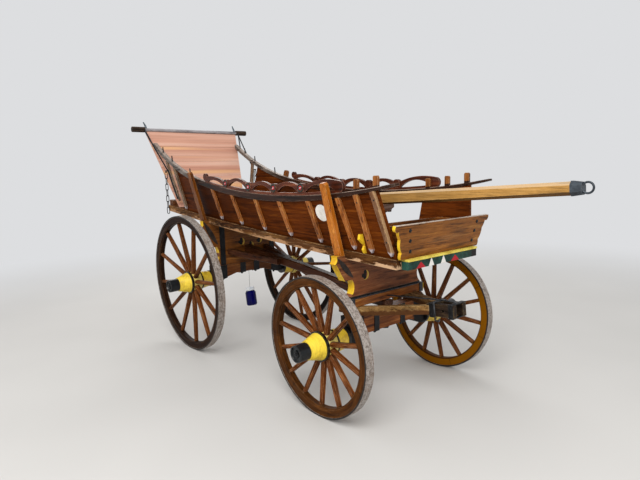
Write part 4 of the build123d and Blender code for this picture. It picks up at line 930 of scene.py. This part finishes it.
# Tail bar. A round ash pole over the tailboard, with square grips outside the stays. The middle has
# weathered to a blue-grey, and the grips are black with handling.
material, tree, shader = blank("tail_bar_wood", 0.6)
place, along = grain(tree, crosswise)
middle, height = wood_look(along, place, ("77747a", "aca9ae", "d0cdd2"), "e0dde0", 0.4, splits=0.6)
grip, _ = wood_look(along, place, ("140e0b", "33231a", "5a4232"), "8c7a68", 0.4)
grip_from = 0.589
outer = past(off_middle(place), grip_from)
shade = mix(outer, middle, grip)
cover(shader, shade, height, 0.4, 0.003)
dress(material, "tail_bar")
dress(black_iron, "tail_irons")

# Bar horns. Short iron horns on the tail bar, just inside the grips, which keep a lashing rope from
# slipping off. They lean back a little.
horn_lines = [[(-3.028, y, 2.236), (-3.050, y, 2.282), (-3.086, y * 1.01, 2.322)] for y in (0.57, -0.57)]
horns = bent_rods("bar_horns", horn_lines, "wagon", Thick=0.028, Bend=0.03, Taper=0.5)
horns.data.materials[0] = plain_iron("horn_iron", "3c454b", "6d7880", 0.5, 0.8)

# Tail chains. Hand-forged oval links, each turned a quarter against the next, which hang from the last
# ribs past the cross beam.
chain_iron = plain_iron("chain_iron", "141312", "3a3533", 0.5, 0.7)
tree, sizes, result = pattern("tail_chain", Length=0.078, Width=0.034, Wire=0.008)
wire_half = times(sizes["Wire"], 0.5)
width_half = times(sizes["Width"], 0.5)
bend = minus(width_half, wire_half)
spare = times(minus(sizes["Length"], sizes["Width"]), 0.5)
oval = step(tree, "CurvePrimitiveCircle", {"Resolution": 22, "Radius": bend})["Curve"]
side_of = spread(step(tree, "InputPosition")["Position"])["X"]
push = times(maths("SIGN", side_of), spare)
shift = put(tree, "CombineXYZ", {"X": push}).outputs[0]
oval = step(tree, "SetPosition", {"Geometry": oval, "Offset": shift})["Geometry"]
section = step(tree, "CurvePrimitiveCircle", {"Resolution": 8, "Radius": wire_half})["Curve"]
link = step(tree, "CurveToMesh", {"Curve": oval, "Profile Curve": section})["Mesh"]
odd = maths("MODULO", step(tree, "InputIndex")["Index"], 2.0)
quarter = {"Axis": (1.0, 0.0, 0.0), "Angle": times(odd, math.pi / 2.0)}
twist = step(tree, "FunctionNodeAxisAngleToRotation", quarter)["Rotation"]
lay(tree, sizes, result, link, chain_iron, axis="X", twist=twist)
chain_low, chain_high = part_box("tail_chains")
half_long, half_wide, pitch = 0.039, 0.017, 0.062
links = []
for side in (-1.0, 1.0):
    for number in range(7):
        x, y = (chain_low.x + chain_high.x) / 2, side * (chain_high.y - half_wide)
        links.append(((x, y, chain_high.z - half_long - pitch * number), (0.0, 0.0, 1.0)))
chain = make("tail_chain_links", tree, links, "wagon", "black_iron")
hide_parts("tail_chains")

# Foot box. Four varnished boards between the sills make a box for the driver's feet. The front board is
# flat-sawn with a bold figure, its top edge is worn grey, and its wavy ends are painted yellow.
material, tree, shader = blank("front_board_varnish", 0.36, 0.08)
place, along = grain(tree, (14.0, 1.1, 14.0), (0.10, 0.0, 0.0))
shade, height = wood_look(along, place, ("5c3410", "945a22", "b67c36"), "cfb48c", 0.25, rings=12.0)
top = past(facing(tree, (0.0, 0.0, 1.0)), 0.7)
ragged = ramp(noise(place, 34.0, 5.0, 0.7), (0.34, 0.35), (0.56, 0.95))
shade = mix(times(top, ragged), shade, "b8b0a8")
outer = past(off_middle(place), 0.40)
end_on = past(maths("ABSOLUTE", facing(tree, (0.0, 1.0, 0.0))), 0.35)
yellow_ends = times(outer, end_on)
behind = times(outer, maths("LESS_THAN", facing(tree, (1.0, 0.0, 0.0)), -0.5))
shade = mix(behind, shade, "120e0c")
shade = mix(yellow_ends, shade, yellow_paint(place))
cover(shader, shade, height)
dress(material, "box_front_board")

material, tree, shader = blank("rear_board_varnish", 0.4, 0.06)
place, along = grain(tree, crosswise)
shade, height = wood_look(along, place, ("3c1f10", "70411f", "96602f"), "b9a488", 0.4)
low_edge, low_half, lean = 1.128, 0.415, 0.24
reach = maths("MULTIPLY_ADD", minus(spread(place)["Z"], low_edge), -lean, off_middle(place))
shade = mix(past(reach, low_half), shade, yellow_paint(place))
cover(shader, shade, height)
dress(material, "box_rear_board")
box_tones = ("46230c", "7e481c", "a86a30")
box_side = timber("box_side_varnish", box_tones, "c9a478", 0.3, lengthwise, gloss=0.4, coat=0.06)
dress(box_side, "box_side_boards")

bolts = []
for height, out in ((1.317, 0.378), (1.250, 0.364), (1.180, 0.350)):
    for y in (-out, out):
        bolts += meet("box_front_board", (axle_x + 1.5, y, height), (-1, 0, 0))
make("front_board_bolts", head_tree, bolts, "wagon", "black_iron", Radius=0.013, Proud=0.007)

# Front sill and its strip. The sill is a softwood beam painted dark green, with red and white teeth along
# its face. The strip on top of it is pale yellow, worn to the wood on its front edge.
material, tree, shader = blank("sill_green", 0.42, 0.1)
place = here(tree)
grime = ramp(noise(place, 11.0, 6.0, 0.7), (0.36, 0.0), (0.58, 1.0))
shade = mix(grime, "0e1f1a", "234a40")
_, y, z = spread(place)
tooth_foot = 1.063
for middle, half, top, paint in (
    (-0.261, 0.050, 0.042, "b3202c"), (0.120, 0.050, 0.042, "b3202c"),
    (-0.149, 0.030, 0.058, "eceae6"), (-0.015, 0.030, 0.058, "eceae6"),
):
    share = maths("MULTIPLY_ADD", z, -1.0 / top, 1.0 + tooth_foot / top)
    away = maths("ABSOLUTE", minus(y, middle))
    shade = mix(maths("LESS_THAN", away, times(share, half)), shade, paint)
far = ramp(frayed(y, 0.05, place, 30.0), (0.33, 0.0), (0.36, 1.0))
shade = mix(far, shade, "191411")
chips = rubbed(0.004, 0.8, noise(place, 45.0, 5.0, 0.75), (0.48, 0.0), (0.56, 0.8))
shade = mix(chips, shade, "8a7a62")
cover(shader, shade, noise(place, 60.0, 5.0), 0.2, 0.002)
dress(material, "front_sill")

material, tree, shader = blank("strip_yellow", 0.4, 0.1)
place = here(tree)
paint = yellow_paint(place, "eedc66", "cdb446")
spots = ramp(noise(place, 26.0, 6.0, 0.8), (0.62, 0.0), (0.66, 0.8))
shade = mix(spots, paint, "5b4226")
cover(shader, shade, noise(place, 60.0, 5.0), 0.2, 0.002)
dress(material, "sill_strip")

# Seat board and its cleats. A pine board on two cleats across the bed, stained dark and rubbed bare where
# the driver sits.
seat_tones = ("2b1a13", "5a3826", "86603f")
seat_wood = timber("seat_wood", seat_tones, "b5aca6", 0.6, crosswise, gloss=0.45, coat=0.1)
dress(seat_wood, "seat_board", "seat_cleats")

# Draught pole. A straight ash pole with its corners taken off, oiled tan, stored in the bed with its
# iron-shod tip forward. Its upper faces carry a painted highlight, and its underside carries painted shade.
material, tree, shader = blank("pole_ash", 0.42)
place, along = grain(tree, (0.7, 18.0, 18.0), (0.0, 0.07, 0.0))
pole_tones = ("a2783e", "b88a4a", "cca060")
shade, height = wood_look(along, place, pole_tones, "e2cfa8", 0.3, rings=6.0, splits=0.4)
# Painted highlight: the upper faces are lightened as if lit from above.
above = ramp(facing(tree, (0.0, 0.0, 1.0)), (0.55, 0.0), (0.80, 0.6))
shade = mix(above, shade, "dccbb0")
# Painted shade: the underside is darkened.
painted_shade_below = ramp(facing(tree, (0.0, 0.0, -1.0)), (0.40, 0.0), (0.65, 0.85))
shade = mix(painted_shade_below, shade, "4a2f18")
cover(shader, shade, height)
dress(material, "pole")
dress(plain_iron("tip_iron", "2b3036", "4b545d", 0.45, 0.8), "pole_tip_irons")

# Grease pot. A stoneware jar under a dark blue glaze with a white glazed lid. It hangs from the rear axle
# on a thin wire.
material, tree, shader = blank("pot_glaze", 0.12, 0.0, 0.15)
place = here(tree)
foot = (axle_x - 1.902, 0.0, 0.315)
tilt = math.radians(10.0)
lid_from, wire_from = 0.158, 0.1965
upward = (-math.sin(tilt), 0.0, math.cos(tilt))
up = share_along(line_from(foot, place), upward)
cloud = noise(place, 18.0)
blue = ramp(cloud, (0.3, "03033c"), (0.7, "07075a"))
lid = ramp(cloud, (0.3, "c2cede"), (0.6, "eef2f6"))
shade = mix(past(up, lid_from), blue, lid)
shade = mix(past(up, wire_from), shade, "2a2a2c")
cover(shader, shade, noise(place, 25.0), 0.08, 0.002)
dress(material, "grease_pot")

# Round plate. A white enamelled disc on the right side, left blank, with a thin dark rim where the enamel
# has chipped.
material, tree, shader = blank("plate_white", 0.25, 0.3)
place = here(tree)
stain = ramp(noise(place, 20.0, 5.0, 0.6), (0.34, "d6d3cb"), (0.56, "efede8"))
rim = rubbed(0.002, 0.8, noise(place, 90.0), (0.48, 0.0), (0.54, 0.8))
shade = mix(rim, stain, "3b3430")
cover(shader, shade, noise(place, 30.0), 0.08, 0.001)
dress(material, "round_plate")
